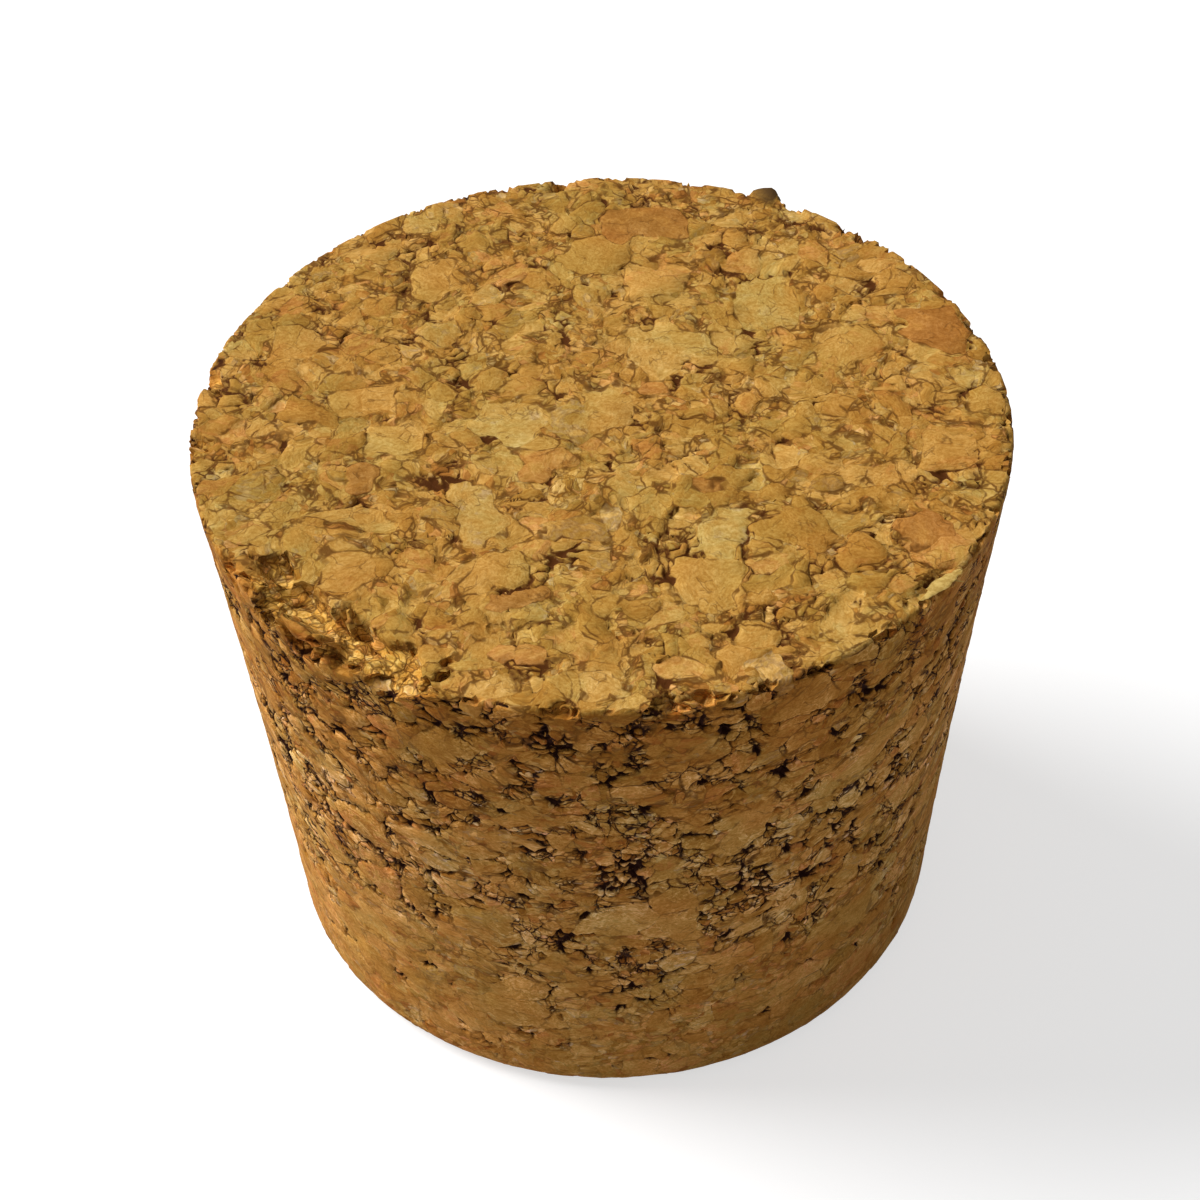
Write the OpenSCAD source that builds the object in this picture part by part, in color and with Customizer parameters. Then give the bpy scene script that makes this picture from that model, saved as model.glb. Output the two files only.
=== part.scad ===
// Tapered stopper of pressed cork granules, standing on its narrow end.
// The origin is the centre of the narrow end, and +Z runs up the axis to the wide end.
// The front of the stopper, with the broken stretch of rim at its left, faces -Y.

/* [Body] */
// Diameter of the wide end, at the edge
wide_d = 35; // [26:0.5:50]
// Diameter of the narrow end, before its edge is rounded
narrow_d = 30; // [22:0.5:46]
// Height from the narrow end to the wide end
height = 27; // [18:0.5:40]
// How far the ground side dips in from a straight taper at mid height
side_hollow = 0.15; // [0:0.05:0.5]
// Radius of the rounded edge round the narrow end
foot_round = 1.2; // [0.3:0.1:2.5]
// Radius of the worn edge round the wide end
rim_round = 0.25; // [0.1:0.05:0.8]

/* [Voids between granules] */
// Voids ground open round the side
side_voids = 330; // [0:10:360]
// Voids cut open on the wide end
wide_end_voids = 60; // [0:2:80]
// Voids cut open on the narrow end
narrow_end_voids = 40; // [0:2:60]
// Half the length of the smallest void
void_small = 0.28; // [0.2:0.01:0.4]
// Half the length of the largest void
void_large = 0.85; // [0.5:0.05:1]
// How deep the voids go, as a share of their half length
void_depth = 1.1; // [0.6:0.1:1.6]

/* [Rim damage] */
// Small nicks all round the rim of the wide end
rim_nicks = 46; // [0:2:60]
// Half the length of the largest nick
nick_size = 0.8; // [0.3:0.05:1.2]
// Angle at which the broken stretch starts, counted from +X
break_from = -149; // [-170:1:-140]
// Angle at which the broken stretch ends
break_to = -117; // [-130:1:-90]
// How far in from the rim the break's worn slope starts
break_width = 1.9; // [1:0.1:3]
// How far the slope drops by the time it meets the side
break_drop = 0.55; // [0.2:0.05:1.2]
// Half the length of the granules that have broken out
break_granule = 1.15; // [0.6:0.05:1.6]
// Half the length of the deep cracks in the break
crack_length = 1; // [0.5:0.1:1.5]
// How deep the cracks go
crack_depth = 1.9; // [1:0.1:2.5]

/* [Hidden] */
$fn = 96;

cork = [0.70, 0.53, 0.30];

// Straight pieces in each rounded edge and in the side
round_steps = 5;
side_steps = 8;

// Turn from one void to the next, so that no two rows line up
golden_turn = 137.508;

// A lump's corners: how many, and how near the middle the nearest and the furthest lie
lump_sides = 5;
lump_near = 0.7;
lump_far = 1.2;
// Where a lump's two rings of corners lie, as a share of its half height
lump_ring_height = 0.45;

// Share of the height, or of a face's radius, that the voids keep to
side_voids_low = 0.06;
side_voids_high = 0.96;
end_voids_reach = 0.94;
// Under 1, this crowds the side's voids towards the wide end
side_crowding = 0.75;
// Over 1, this makes small voids commoner than large ones
void_smallness = 1.6;
// The narrowest void's width, as a share of its length
void_narrowest = 0.5;
// How far a void's widest part stands out of the surface, as a share of its half length
void_mouth = 0.12;

// The smallest nick beside the largest, and a nick's depth and height beside its length
nick_smallest = 0.4;
nick_depth = 0.45;
nick_height = 0.6;
// How far a nick strays from its even place round the rim, as a share of their spacing
nick_stray = 0.7;

// How far cutting shapes stand clear of the surface that they cut
clear = 1;

// Depth of the small step where the break's slope starts
break_lip = 0.12;

// Angle from one broken-out granule to the next
break_step = 4;
// Rows of broken-out granules: [size beside break_granule, inset from the rim, drop]
break_rows = [
    [0.85, 0.1, 0],
    [0.7, 1.3, 0.15]
];
// The smallest and largest broken-out granule beside its row's size, and the flattest
break_smallest = 0.8;
break_largest = 1.25;
break_flattest = 0.75;
// Cracks in the break: [angle, inset from the rim, turn]
cracks = [
    [break_from + 7, 0.55, 70],
    [break_to - 12, 2.2, 64]
];
crack_width = 0.28;

// Chips that stand out on the rim: [angle, half depth, half length, half height]
chips = [
    [-113.8, 0.8, 0.35, 1.5],
    [-83, 0.6, 0.9, 0.45],
    [-77, 0.5, 0.6, 0.5],
    [-6, 0.4, 0.5, 0.5],
    [43, 0.9, 1.1, 0.7],
    [96, 0.7, 0.5, 0.5],
    [169, 0.5, 1.2, 0.8],
    [-178, 0.8, 0.7, 0.35]
];
// A dark crumb that stands proud just under the back of the rim
crumb_angle = 62.7;
crumb_size = 0.55;
crumb_drop = 0.6;

// First number of each family of voids and lumps, so that no two share a shape
wide_end_ids = 1000;
narrow_end_ids = 1200;
nick_ids = 1400;
chip_ids = 1500;
break_ids = 1600;
crack_ids = 1800;
crumb_id = 1900;

// What a chance number is used for, after the 0 to 9 that a lump's corners take
for_length = 11;
for_width = 12;
for_turn = 13;
for_place = 14;
for_height = 15;

// A number from 0 to 1 that differs for each id and each use
function chance(id, use) = let (v = sin(id * 127.1 + use * 311.7) * 437.585) v - floor(v);

function between(low, high, share) = low + (high - low) * share;

// A number from low to high that differs for each id and each use
function pick(low, high, id, use) = between(low, high, chance(id, use));

// Radius of the side at height z, full at the lower end of the worn edge
function side_r(z) =
    let (s = z / (height - rim_round))
    between(narrow_d, wide_d, s) / 2 - 4 * side_hollow * s * (1 - s);

// Points of a rounded edge of radius r that ends at radius edge_r, from angle a0 to a1
function edge_arc(edge_r, centre_z, r, a0, a1) = [
    for (i = [0 : round_steps])
        let (a = between(a0, a1, i / round_steps))
        [edge_r - r + r * cos(a), centre_z + r * sin(a)]
];

// Half of the body's section, from the axis at the narrow end to the axis at the wide end
function body_section() = concat(
    [[0, 0]],
    edge_arc(side_r(foot_round), foot_round, foot_round, -90, 0),
    [
        for (i = [1 : side_steps - 1])
            let (z = between(foot_round, height - rim_round, i / side_steps))
            [side_r(z), z]
    ],
    edge_arc(wide_d / 2, height - rim_round, rim_round, 0, 90),
    [[0, height]]
);

// One ring of a lump's uneven corners, x by y from its centre, at height z
function lump_ring(x, y, z, id, level) = [
    for (i = [0 : lump_sides - 1])
        let (
            a = 360 / lump_sides * (i + level / 2),
            r = pick(lump_near, lump_far, id, i + level * lump_sides)
        )
        [x * r * cos(a), y * r * sin(a), z]
];

// The three-cornered faces that join point tip to a ring whose first point is first
function tip_faces(tip, first, inward) = [
    for (i = [0 : lump_sides - 1])
        let (a = first + i, b = first + (i + 1) % lump_sides)
        inward ? [tip, a, b] : [tip, b, a]
];

// An uneven granule-shaped solid, x by y by z from its centre to its faces
module lump(x, y, z, id) {
    n = lump_sides;
    ring_z = z * lump_ring_height;
    points = concat(
        [[0, 0, -z]],
        lump_ring(x, y, -ring_z, id, 0),
        lump_ring(x, y, ring_z, id, 1),
        [[0, 0, z]]
    );
    band = [
        for (i = [0 : n - 1])
            let (a = 1 + i, b = 1 + (i + 1) % n)
            each [[a, a + n, b], [b, a + n, b + n]]
    ];
    polyhedron(points, concat(tip_faces(0, 1, true), band, tip_faces(2 * n + 1, n + 1, false)));
}

// A pit with sharp corners that narrows to a point at depth, with its mouth at height mouth
module pit(x, y, depth, mouth, id) {
    points = concat([[0, 0, -depth]], lump_ring(x, y, mouth, id, 0), [[0, 0, depth]]);
    polyhedron(points, concat(tip_faces(0, 1, true), tip_faces(lump_sides + 1, 1, false)));
}

// Places children on the side at an angle and height, with their Z axis pointing outwards
module on_side(angle, z) {
    rotate([0, 0, angle]) translate([side_r(z), 0, z]) rotate([0, 90, 0]) children();
}

// Places children at an angle on the edge of the wide end, set in towards the axis
module on_rim(angle, inset = 0, drop = 0) {
    rotate([0, 0, angle]) translate([wide_d / 2 - inset, 0, height - drop]) children();
}

// A void of its own size and slant, from the numbers that its id gives
module granule_void(id) {
    length = between(void_small, void_large, pow(chance(id, for_length), void_smallness));
    width = length * pick(void_narrowest, 1, id, for_width);
    rotate([0, 0, 180 * chance(id, for_turn)])
        pit(length, width, length * void_depth, length * void_mouth, id);
}

// Voids round the side on a golden-angle spiral, closer together towards the wide end
module side_void_field() {
    for (i = [0 : 1 : side_voids - 1]) {
        share = pow((i + chance(i, for_place)) / side_voids, side_crowding);
        z = height * between(side_voids_low, side_voids_high, share);
        on_side(golden_turn * i, z) granule_void(i);
    }
}

// Voids over a round face on a sunflower spiral
module end_void_field(count, face_r, first_id) {
    for (i = [0 : 1 : count - 1]) {
        id = first_id + i;
        r = face_r * end_voids_reach * sqrt((i + chance(id, for_place)) / count);
        rotate([0, 0, golden_turn * i]) translate([r, 0, 0]) granule_void(id);
    }
}

// Small nicks all round the rim, where the cut left half granules behind
module rim_nick_field() {
    for (i = [0 : 1 : rim_nicks - 1]) {
        id = nick_ids + i;
        size = nick_size * pick(nick_smallest, 1, id, for_length);
        on_rim(360 * (i + nick_stray * chance(id, for_place)) / rim_nicks)
            lump(size * nick_depth, size, size * nick_height, id);
    }
}

// The chips that stand out on the rim
module rim_chips() {
    for (i = [0 : len(chips) - 1]) {
        chip = chips[i];
        on_rim(chip[0]) lump(chip[1], chip[2], chip[3], chip_ids + i);
    }
}

// The worn slope under the broken-out granules, which leaves no crumb hanging between them
module break_slope() {
    inner = wide_d / 2 - break_width;
    outer = wide_d / 2 + clear;
    outer_drop = break_drop * (break_width + clear) / break_width;
    rotate([0, 0, break_from]) rotate_extrude(angle = break_to - break_from) polygon([
        [inner, height - break_lip],
        [outer, height - outer_drop],
        [outer, height + clear],
        [inner, height + clear]
    ]);
}

// The stretch of rim at the front left where rows of granules have broken out
module broken_rim() {
    break_slope();
    count = floor((break_to - break_from) / break_step);
    for (row = [0 : len(break_rows) - 1], i = [0 : count]) {
        id = break_ids + row * (count + 1) + i;
        angle = break_from + break_step * (i + chance(id, for_place) / 2);
        size = break_granule * break_rows[row][0] * pick(break_smallest, break_largest, id, for_length);
        on_rim(angle, break_rows[row][1], break_rows[row][2])
            lump(size, size, size * pick(break_flattest, 1, id, for_height), id);
    }
    for (i = [0 : len(cracks) - 1]) {
        crack = cracks[i];
        on_rim(crack[0], crack[1]) rotate([0, 0, crack[2]])
            lump(crack_length, crack_width, crack_depth, crack_ids + i);
    }
}

// The whole stopper, one piece of bound granules
module stopper() {
    color(cork) difference() {
        union() {
            rotate_extrude() polygon(body_section());
            on_rim(crumb_angle, 0, crumb_drop) lump(crumb_size, crumb_size, crumb_size, crumb_id);
        }
        side_void_field();
        translate([0, 0, height]) end_void_field(wide_end_voids, wide_d / 2, wide_end_ids);
        end_void_field(narrow_end_voids, narrow_d / 2 - foot_round, narrow_end_ids);
        rim_nick_field();
        rim_chips();
        broken_rim();
    }
}

stopper();
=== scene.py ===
"""A tapered stopper of pressed cork granules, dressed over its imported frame.

The body is one closed surface worked out with numpy: two round ends and a tapered side, pushed
inwards by the cracks, voids and breaks between granules. The granules are the nearest-point cells
of scattered points, and the finish reads the same points, so that relief and colour agree.
"""

import logging
import math
from dataclasses import dataclass, field
from enum import IntEnum
from itertools import product
from typing import Callable

import bmesh
import bpy
import numpy as np
from mathutils import Matrix, Vector


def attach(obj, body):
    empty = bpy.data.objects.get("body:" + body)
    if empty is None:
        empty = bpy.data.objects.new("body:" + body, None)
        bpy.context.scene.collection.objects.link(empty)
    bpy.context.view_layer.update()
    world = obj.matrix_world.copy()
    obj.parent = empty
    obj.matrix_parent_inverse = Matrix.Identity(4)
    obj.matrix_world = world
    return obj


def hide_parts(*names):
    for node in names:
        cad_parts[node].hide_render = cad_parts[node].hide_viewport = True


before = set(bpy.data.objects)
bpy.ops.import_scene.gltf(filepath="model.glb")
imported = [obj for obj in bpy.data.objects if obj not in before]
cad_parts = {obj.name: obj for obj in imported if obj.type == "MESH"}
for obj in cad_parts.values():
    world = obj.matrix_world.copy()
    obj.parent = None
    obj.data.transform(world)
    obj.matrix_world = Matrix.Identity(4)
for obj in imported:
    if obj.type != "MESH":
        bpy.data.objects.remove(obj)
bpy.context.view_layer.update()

log = logging.getLogger("stopper")

MM = 0.001
# Whole numbers of 32 bits, in which the scatter rule works
U32 = np.uint32
# The cube that holds a place and the 26 round it
NEIGHBOURS = tuple(product((-1, 0, 1), repeat=3))

Array = np.ndarray


class Use(IntEnum):
    """What a number by chance is used for, as the solid numbers its uses."""

    LENGTH = 11
    WIDTH = 12
    TURN = 13
    PLACE = 14
    HEIGHT = 15


# ---- Numbers by chance ----


def chance(key: float, use: float) -> float:
    """A number from 0 to 1 for each key and use, by the same rule as the solid's.

    Args:
        key: which void or lump it is for.
        use: what the number is used for.

    Returns:
        The fraction of a scaled sine of both, in degrees.
    """
    value = math.sin(math.radians(key * 127.1 + use * 311.7)) * 437.585
    return value - math.floor(value)


def between(low: float, high: float, share: float) -> float:
    """The value that lies a share of the way from low to high."""
    return low + (high - low) * share


def pick(low: float, high: float, key: float, use: float) -> float:
    """A number from low to high for each key and use."""
    return between(low, high, chance(key, use))


def smooth_step(low: float | Array, high: float | Array, value: Array) -> Array:
    """A soft step: 0 below low, 1 above high, and three s squared less two s cubed between."""
    s = np.clip((value - low) / (high - low), 0.0, 1.0)
    return s * s * (3.0 - 2.0 * s)


def roll_bits(x: Array, count: int) -> Array:
    """Each 32-bit number with its bits turned left by count places."""
    return (x << U32(count)) | (x >> U32(32 - count))


def final_mix(a: Array, b: Array, c: Array) -> Array:
    """The last mixing of three 32-bit numbers, each exclusive-or then less a turned neighbour."""
    c = (c ^ b) - roll_bits(b, 14)
    a = (a ^ c) - roll_bits(c, 11)
    b = (b ^ a) - roll_bits(a, 25)
    c = (c ^ b) - roll_bits(b, 16)
    a = (a ^ c) - roll_bits(c, 4)
    b = (b ^ a) - roll_bits(a, 14)
    return (c ^ b) - roll_bits(b, 24)


def mix_four(bits: Array, last: Array) -> Array:
    """Mixes a cell's three numbers, and then a fourth.

    Args:
        bits: the cell's three numbers, as 32-bit patterns.
        last: the fourth number's pattern.

    Returns:
        One well-mixed 32-bit number for each cell.
    """
    start = U32((0xDEADBEEF + (4 << 2) + 13) & 0xFFFFFFFF)
    a, b, c = (start + bits[..., i] for i in range(3))
    for turn_c, turn_a, turn_b in ((4, 6, 8), (16, 19, 4)):
        a = (a - c) ^ roll_bits(c, turn_c)
        c = c + b
        b = (b - a) ^ roll_bits(a, turn_a)
        a = a + c
        c = (c - b) ^ roll_bits(b, turn_b)
        b = b + a
    return final_mix(a + last, b, c)


def scatter(cells: Array) -> Array:
    """Three numbers from 0 to 1 for each whole-numbered cell, as the cell texture scatters them.

    Args:
        cells: whole-numbered cells, the last axis being x, y and z.

    Returns:
        An array of the same shape: the cell's point, and also its colour.
    """
    bits = np.ascontiguousarray(cells.astype(np.float32) + np.float32(0)).view(U32)
    start = U32((0xDEADBEEF + (3 << 2) + 13) & 0xFFFFFFFF)
    with np.errstate(over="ignore"):
        first = final_mix(*(start + bits[..., i] for i in range(3)))
        rest = [mix_four(bits, np.full(bits.shape[:-1], np.float32(k)).view(U32)) for k in (1, 2)]
    return np.stack([first, *rest], -1) / float(0xFFFFFFFF)


# ---- Granules ----


@dataclass(frozen=True)
class CellReading:
    """What a lattice says of each place: the cell's own numbers, its point, and its edges.

    Fields:
        numbers: three numbers from 0 to 1 that every place in one granule shares.
        point: the granule's scattered point, in millimetres.
        edge: distance to the nearest face of the granule.
        second: distance to the next nearest face.
        size: the granule's own lattice size.
    """

    numbers: Array
    point: Array
    edge: Array
    second: Array
    size: Array


class Lattice:
    """Points scattered one to a cube. The places nearest to a point are its granule."""

    def __init__(self, size: float, reach: float) -> None:
        """Works out every cube's point once.

        Args:
            size: side of a cube, in millimetres.
            reach: how far the cubes go from the origin each way, in millimetres.
        """
        self.size = size
        self.low = int(math.floor(-reach / size)) - 2
        self.count = -2 * self.low
        steps = np.arange(self.low, self.low + self.count)
        cells = np.stack(np.meshgrid(steps, steps, steps, indexing="ij"), -1)
        self.points = scatter(cells).reshape(-1, 3).astype(np.float32)

    def _around(self, base: Array) -> list[tuple[Array, Array]]:
        """The table row and the step of each of the 27 cubes round every base cube."""
        n = self.count
        home = ((base[:, 0] - self.low) * n + (base[:, 1] - self.low)) * n + (base[:, 2] - self.low)
        return [(home + (i * n + j) * n + k, np.array((i, j, k), np.float32)) for i, j, k in NEIGHBOURS]

    def nearest(self, place: Array) -> tuple[Array, Array, Array, Array]:
        """Finds each place's nearest scattered point.

        Args:
            place: places in millimetres, one a row.

        Returns:
            The base cube, the place inside it, the nearest point from the base cube's corner,
            and the point's row in the table.
        """
        scaled = (place / self.size).astype(np.float32)
        base = np.floor(scaled).astype(np.int64)
        inside = scaled - base.astype(np.float32)
        best = np.full(len(place), np.inf, np.float32)
        point = np.zeros_like(inside)
        row = np.zeros(len(place), np.int64)
        for rows, step in self._around(base):
            tried = self.points[rows] + step
            distance = ((tried - inside) ** 2).sum(1)
            closer = distance < best
            best = np.where(closer, distance, best)
            point[closer] = tried[closer]
            row[closer] = rows[closer]
        return base, inside, point, row

    def read(self, place: Array) -> CellReading:
        """Reads the granule at each place, with its distance to the two nearest faces.

        A face lies half way between two points, so its distance is measured from the place to
        the middle of the two points, along the line that joins them.

        Args:
            place: places in millimetres, one a row.

        Returns:
            The reading, with distances in millimetres.
        """
        base, inside, point, row = self.nearest(place)
        first = np.full(len(place), np.inf, np.float32)
        second = first.copy()
        for rows, step in self._around(base):
            tried = self.points[rows] + step
            across = tried - point
            length = np.sqrt((across**2).sum(1))
            middle = (tried + point) * 0.5 - inside
            distance = (middle * across).sum(1) / np.maximum(length, 1e-9)
            distance[rows == row] = np.inf
            second = np.minimum(second, np.maximum(first, distance))
            first = np.minimum(first, distance)
        return CellReading(
            self.points[row], (point + base) * self.size, first * self.size, second * self.size,
            np.full(len(place), self.size),
        )


class SoftNoise:
    """Noise that bends places smoothly: a lattice's numbers, blended between cube corners."""

    def __init__(self, reach: float) -> None:
        """Keeps one table of numbers, which every wavelength reads."""
        self.grid = Lattice(1.0, reach)

    def at(self, place: Array, wavelength: float, shift: float = 0.0) -> Array:
        """Three numbers from -1 to 1 that vary smoothly over the given wavelength.

        Each corner of a place's cube counts by the product of three soft steps.

        Args:
            place: places in millimetres, one a row.
            wavelength: how far apart the numbers lie, in millimetres.
            shift: moves the pattern, so that two uses differ.

        Returns:
            One row of three numbers for each place.
        """
        scaled = place / wavelength + shift
        base = np.floor(scaled).astype(np.int64)
        share = smooth_step(0.0, 1.0, scaled - base)
        n = self.grid.count
        total = np.zeros((len(place), 3))
        for corner in product((0, 1), repeat=3):
            at = (base + corner - self.grid.low) % n
            weight = np.prod(np.where(corner, share, 1.0 - share), axis=1)
            total += weight[:, None] * self.grid.points[(at[:, 0] * n + at[:, 1]) * n + at[:, 2]]
        return total * 2.0 - 1.0


@dataclass(frozen=True)
class GranuleMix:
    """The sizes of granule in the cork, and how many of each, in millimetres.

    Large cells stay whole or are filled with medium ones, and medium cells stay whole or are
    filled with crumbs.
    """

    large: float = 2.6
    medium: float = 1.3
    crumb: float = 0.66
    dust: float = 0.36
    large_share: float = 0.09
    crumb_share: float = 0.56
    dust_share: float = 0.5
    # How much flatter than wide the granules are, from being pressed along the axis
    flatness: float = 1.45
    # Three bends of the places, so that granules have curved and ragged outlines
    bends: tuple[tuple[float, float, float], ...] = ((2.3, 0.42, 0.0), (0.75, 0.24, 7.3), (0.3, 0.12, 3.9))


@dataclass(frozen=True)
class Landmark:
    """One of the granules that stand out on the wide end, given one by one.

    Fields:
        middle: where its middle lies across the end, in millimetres.
        half: its half lengths along x and y, before it is turned, in millimetres.
        light: how light it is. From 0 to 1 is as dark or light as the others.
        tone: its place on the line of tints, from russet at 0 to straw at 1.
        turn: how far it is turned, in degrees.
    """

    middle: tuple[float, float]
    half: tuple[float, float]
    light: float
    tone: float
    turn: float = 0.0


@dataclass(frozen=True)
class Landmarks:
    """The granules that stand out on the wide end, by kind, and how they read."""

    golden: tuple[Landmark, ...] = (
        Landmark((2.3, 4.7), (1.15, 2.1), 1.3, 0.72, 18.0), Landmark((4.1, 4.5), (0.8, 1.6), 1.1, 0.70, 12.0),
        Landmark((-4.2, -0.1), (1.4, 1.6), 1.5, 0.80, -25.0), Landmark((-8.7, -0.9), (1.6, 1.3), 1.1, 0.66, 10.0),
        Landmark((0.6, 0.7), (1.3, 1.7), 0.9, 0.66), Landmark((7.6, 7.4), (1.5, 1.9), 1.0, 0.78),
        Landmark((-5.2, -5.8), (1.2, 2.2), 1.3, 0.82, 15.0), Landmark((4.5, -7.3), (1.0, 1.9), 1.4, 0.80, -20.0),
        Landmark((0.0, -16.0), (1.4, 0.8), 1.6, 0.66, -3.0), Landmark((-4.6, -16.0), (1.5, 0.75), 1.5, 0.60, 10.0),
        Landmark((6.1, -15.2), (0.8, 1.0), 1.4, 0.97, 25.0), Landmark((10.3, 5.6), (1.0, 0.7), 1.0, 0.6),
    )
    plain: tuple[Landmark, ...] = (
        Landmark((-10.2, 1.5), (1.6, 1.2), 0.9, 0.35, 12.0), Landmark((4.0, -10.6), (1.6, 1.5), 0.8, 0.5, -8.0),
        Landmark((-4.2, -9.4), (1.6, 1.2), 0.85, 0.45, 20.0), Landmark((14.3, -2.7), (1.0, 1.5), 0.8, 0.25),
        Landmark((-10.5, -9.1), (1.0, 1.2), 0.9, 0.3), Landmark((6.8, 10.6), (0.9, 1.0), 0.8, 0.2),
        Landmark((-7.4, 10.1), (1.3, 1.4), 0.7, 0.45), Landmark((-13.0, 5.5), (1.3, 1.2), 0.7, 0.3),
    )
    russet: tuple[Landmark, ...] = (
        Landmark((-2.2, -2.5), (1.3, 0.8), 0.7, 0.12, 10.0), Landmark((4.5, -4.6), (1.0, 0.6), 0.3, 0.0, -8.0),
        Landmark((2.0, 1.7), (0.9, 0.6), 0.8, 0.1), Landmark((-3.0, -11.0), (1.6, 0.6), 0.3, 0.0, 14.0),
        Landmark((14.9, 5.3), (1.3, 1.7), -0.1, 0.0, 10.0), Landmark((2.0, 14.1), (2.1, 1.3), 0.1, 0.0),
        Landmark((2.8, -15.3), (0.9, 0.7), 1.3, 0.14, -15.0), Landmark((12.9, -7.6), (1.1, 1.1), 0.1, 0.0, 30.0),
        Landmark((-9.9, -3.4), (0.9, 1.0), 0.2, 0.0), Landmark((-3.4, -14.0), (1.0, 0.7), 0.8, 0.05, -20.0),
    )
    grey: tuple[Landmark, ...] = (
        Landmark((-1.4, 0.0), (0.9, 1.6), 0.5, 0.9, 5.0), Landmark((-1.4, -7.1), (1.2, 0.7), 0.1, 0.93, 8.0),
        Landmark((9.0, -4.7), (0.8, 0.7), -0.3, 0.92), Landmark((0.5, -6.2), (0.6, 0.7), 1.3, 0.96),
        Landmark((-11.2, -3.2), (0.6, 0.6), -0.7, 0.91), Landmark((5.3, 11.0), (0.6, 1.1), -0.6, 0.93),
    )
    # Above 2, an outline is more of a block than a ball
    blockiness: float = 4.5
    # Waves that make the outlines ragged: wavelength and height in millimetres
    ragged: tuple[tuple[float, float], ...] = ((0.95, 0.34), (0.42, 0.14))
    # How far their outlines are drawn in, in millimetres
    drawn_in: float = 0.14
    # How far down from the wide end they reach, in millimetres
    reach: float = 1.0

    def read(self, place: Array, bend: Callable[[Array], Array], noise: SoftNoise,
             height: float) -> tuple[Array, Array, Array]:
        """How deep each place lies in the nearest landmark, with its light and tone.

        The distances along a landmark's two half lengths are raised to a power, added and
        rooted, which gives 1 on its outline. They are measured in the bent places, so that the
        outline is as ragged as the others.

        Args:
            place: places in millimetres, one a row.
            bend: carries places into the bent places.
            noise: makes the outlines ragged.
            height: how high the wide end is.

        Returns:
            The depth in millimetres, below 0 outside, and the light and the tone.
        """
        depth = np.full(len(place), -1.0)
        light, tone = np.full(len(place), 0.5), np.full(len(place), 0.5)
        near_end = np.flatnonzero(place[:, 2] > height - self.reach)
        bent = bend(place[near_end])
        ragged = sum(noise.at(place[near_end], wave, 2.8)[:, 0] * high for wave, high in self.ragged)
        for mark in (*self.golden, *self.plain, *self.russet, *self.grey):
            middle = bend(np.array([(*mark.middle, height)]))[0]
            apart = bent[:, :2] - middle[:2]
            turn = math.radians(mark.turn)
            along = apart[:, 0] * math.cos(turn) + apart[:, 1] * math.sin(turn)
            across = apart[:, 1] * math.cos(turn) - apart[:, 0] * math.sin(turn)
            power = self.blockiness
            outline = (np.abs(along / mark.half[0]) ** power + np.abs(across / mark.half[1]) ** power) ** (1 / power)
            own = (1.0 - outline) * min(mark.half) + ragged - self.drawn_in
            nearer = own > depth[near_end]
            chosen = near_end[nearer]
            depth[chosen], light[chosen], tone[chosen] = own[nearer], mark.light, mark.tone
        return depth, light, tone


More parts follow.
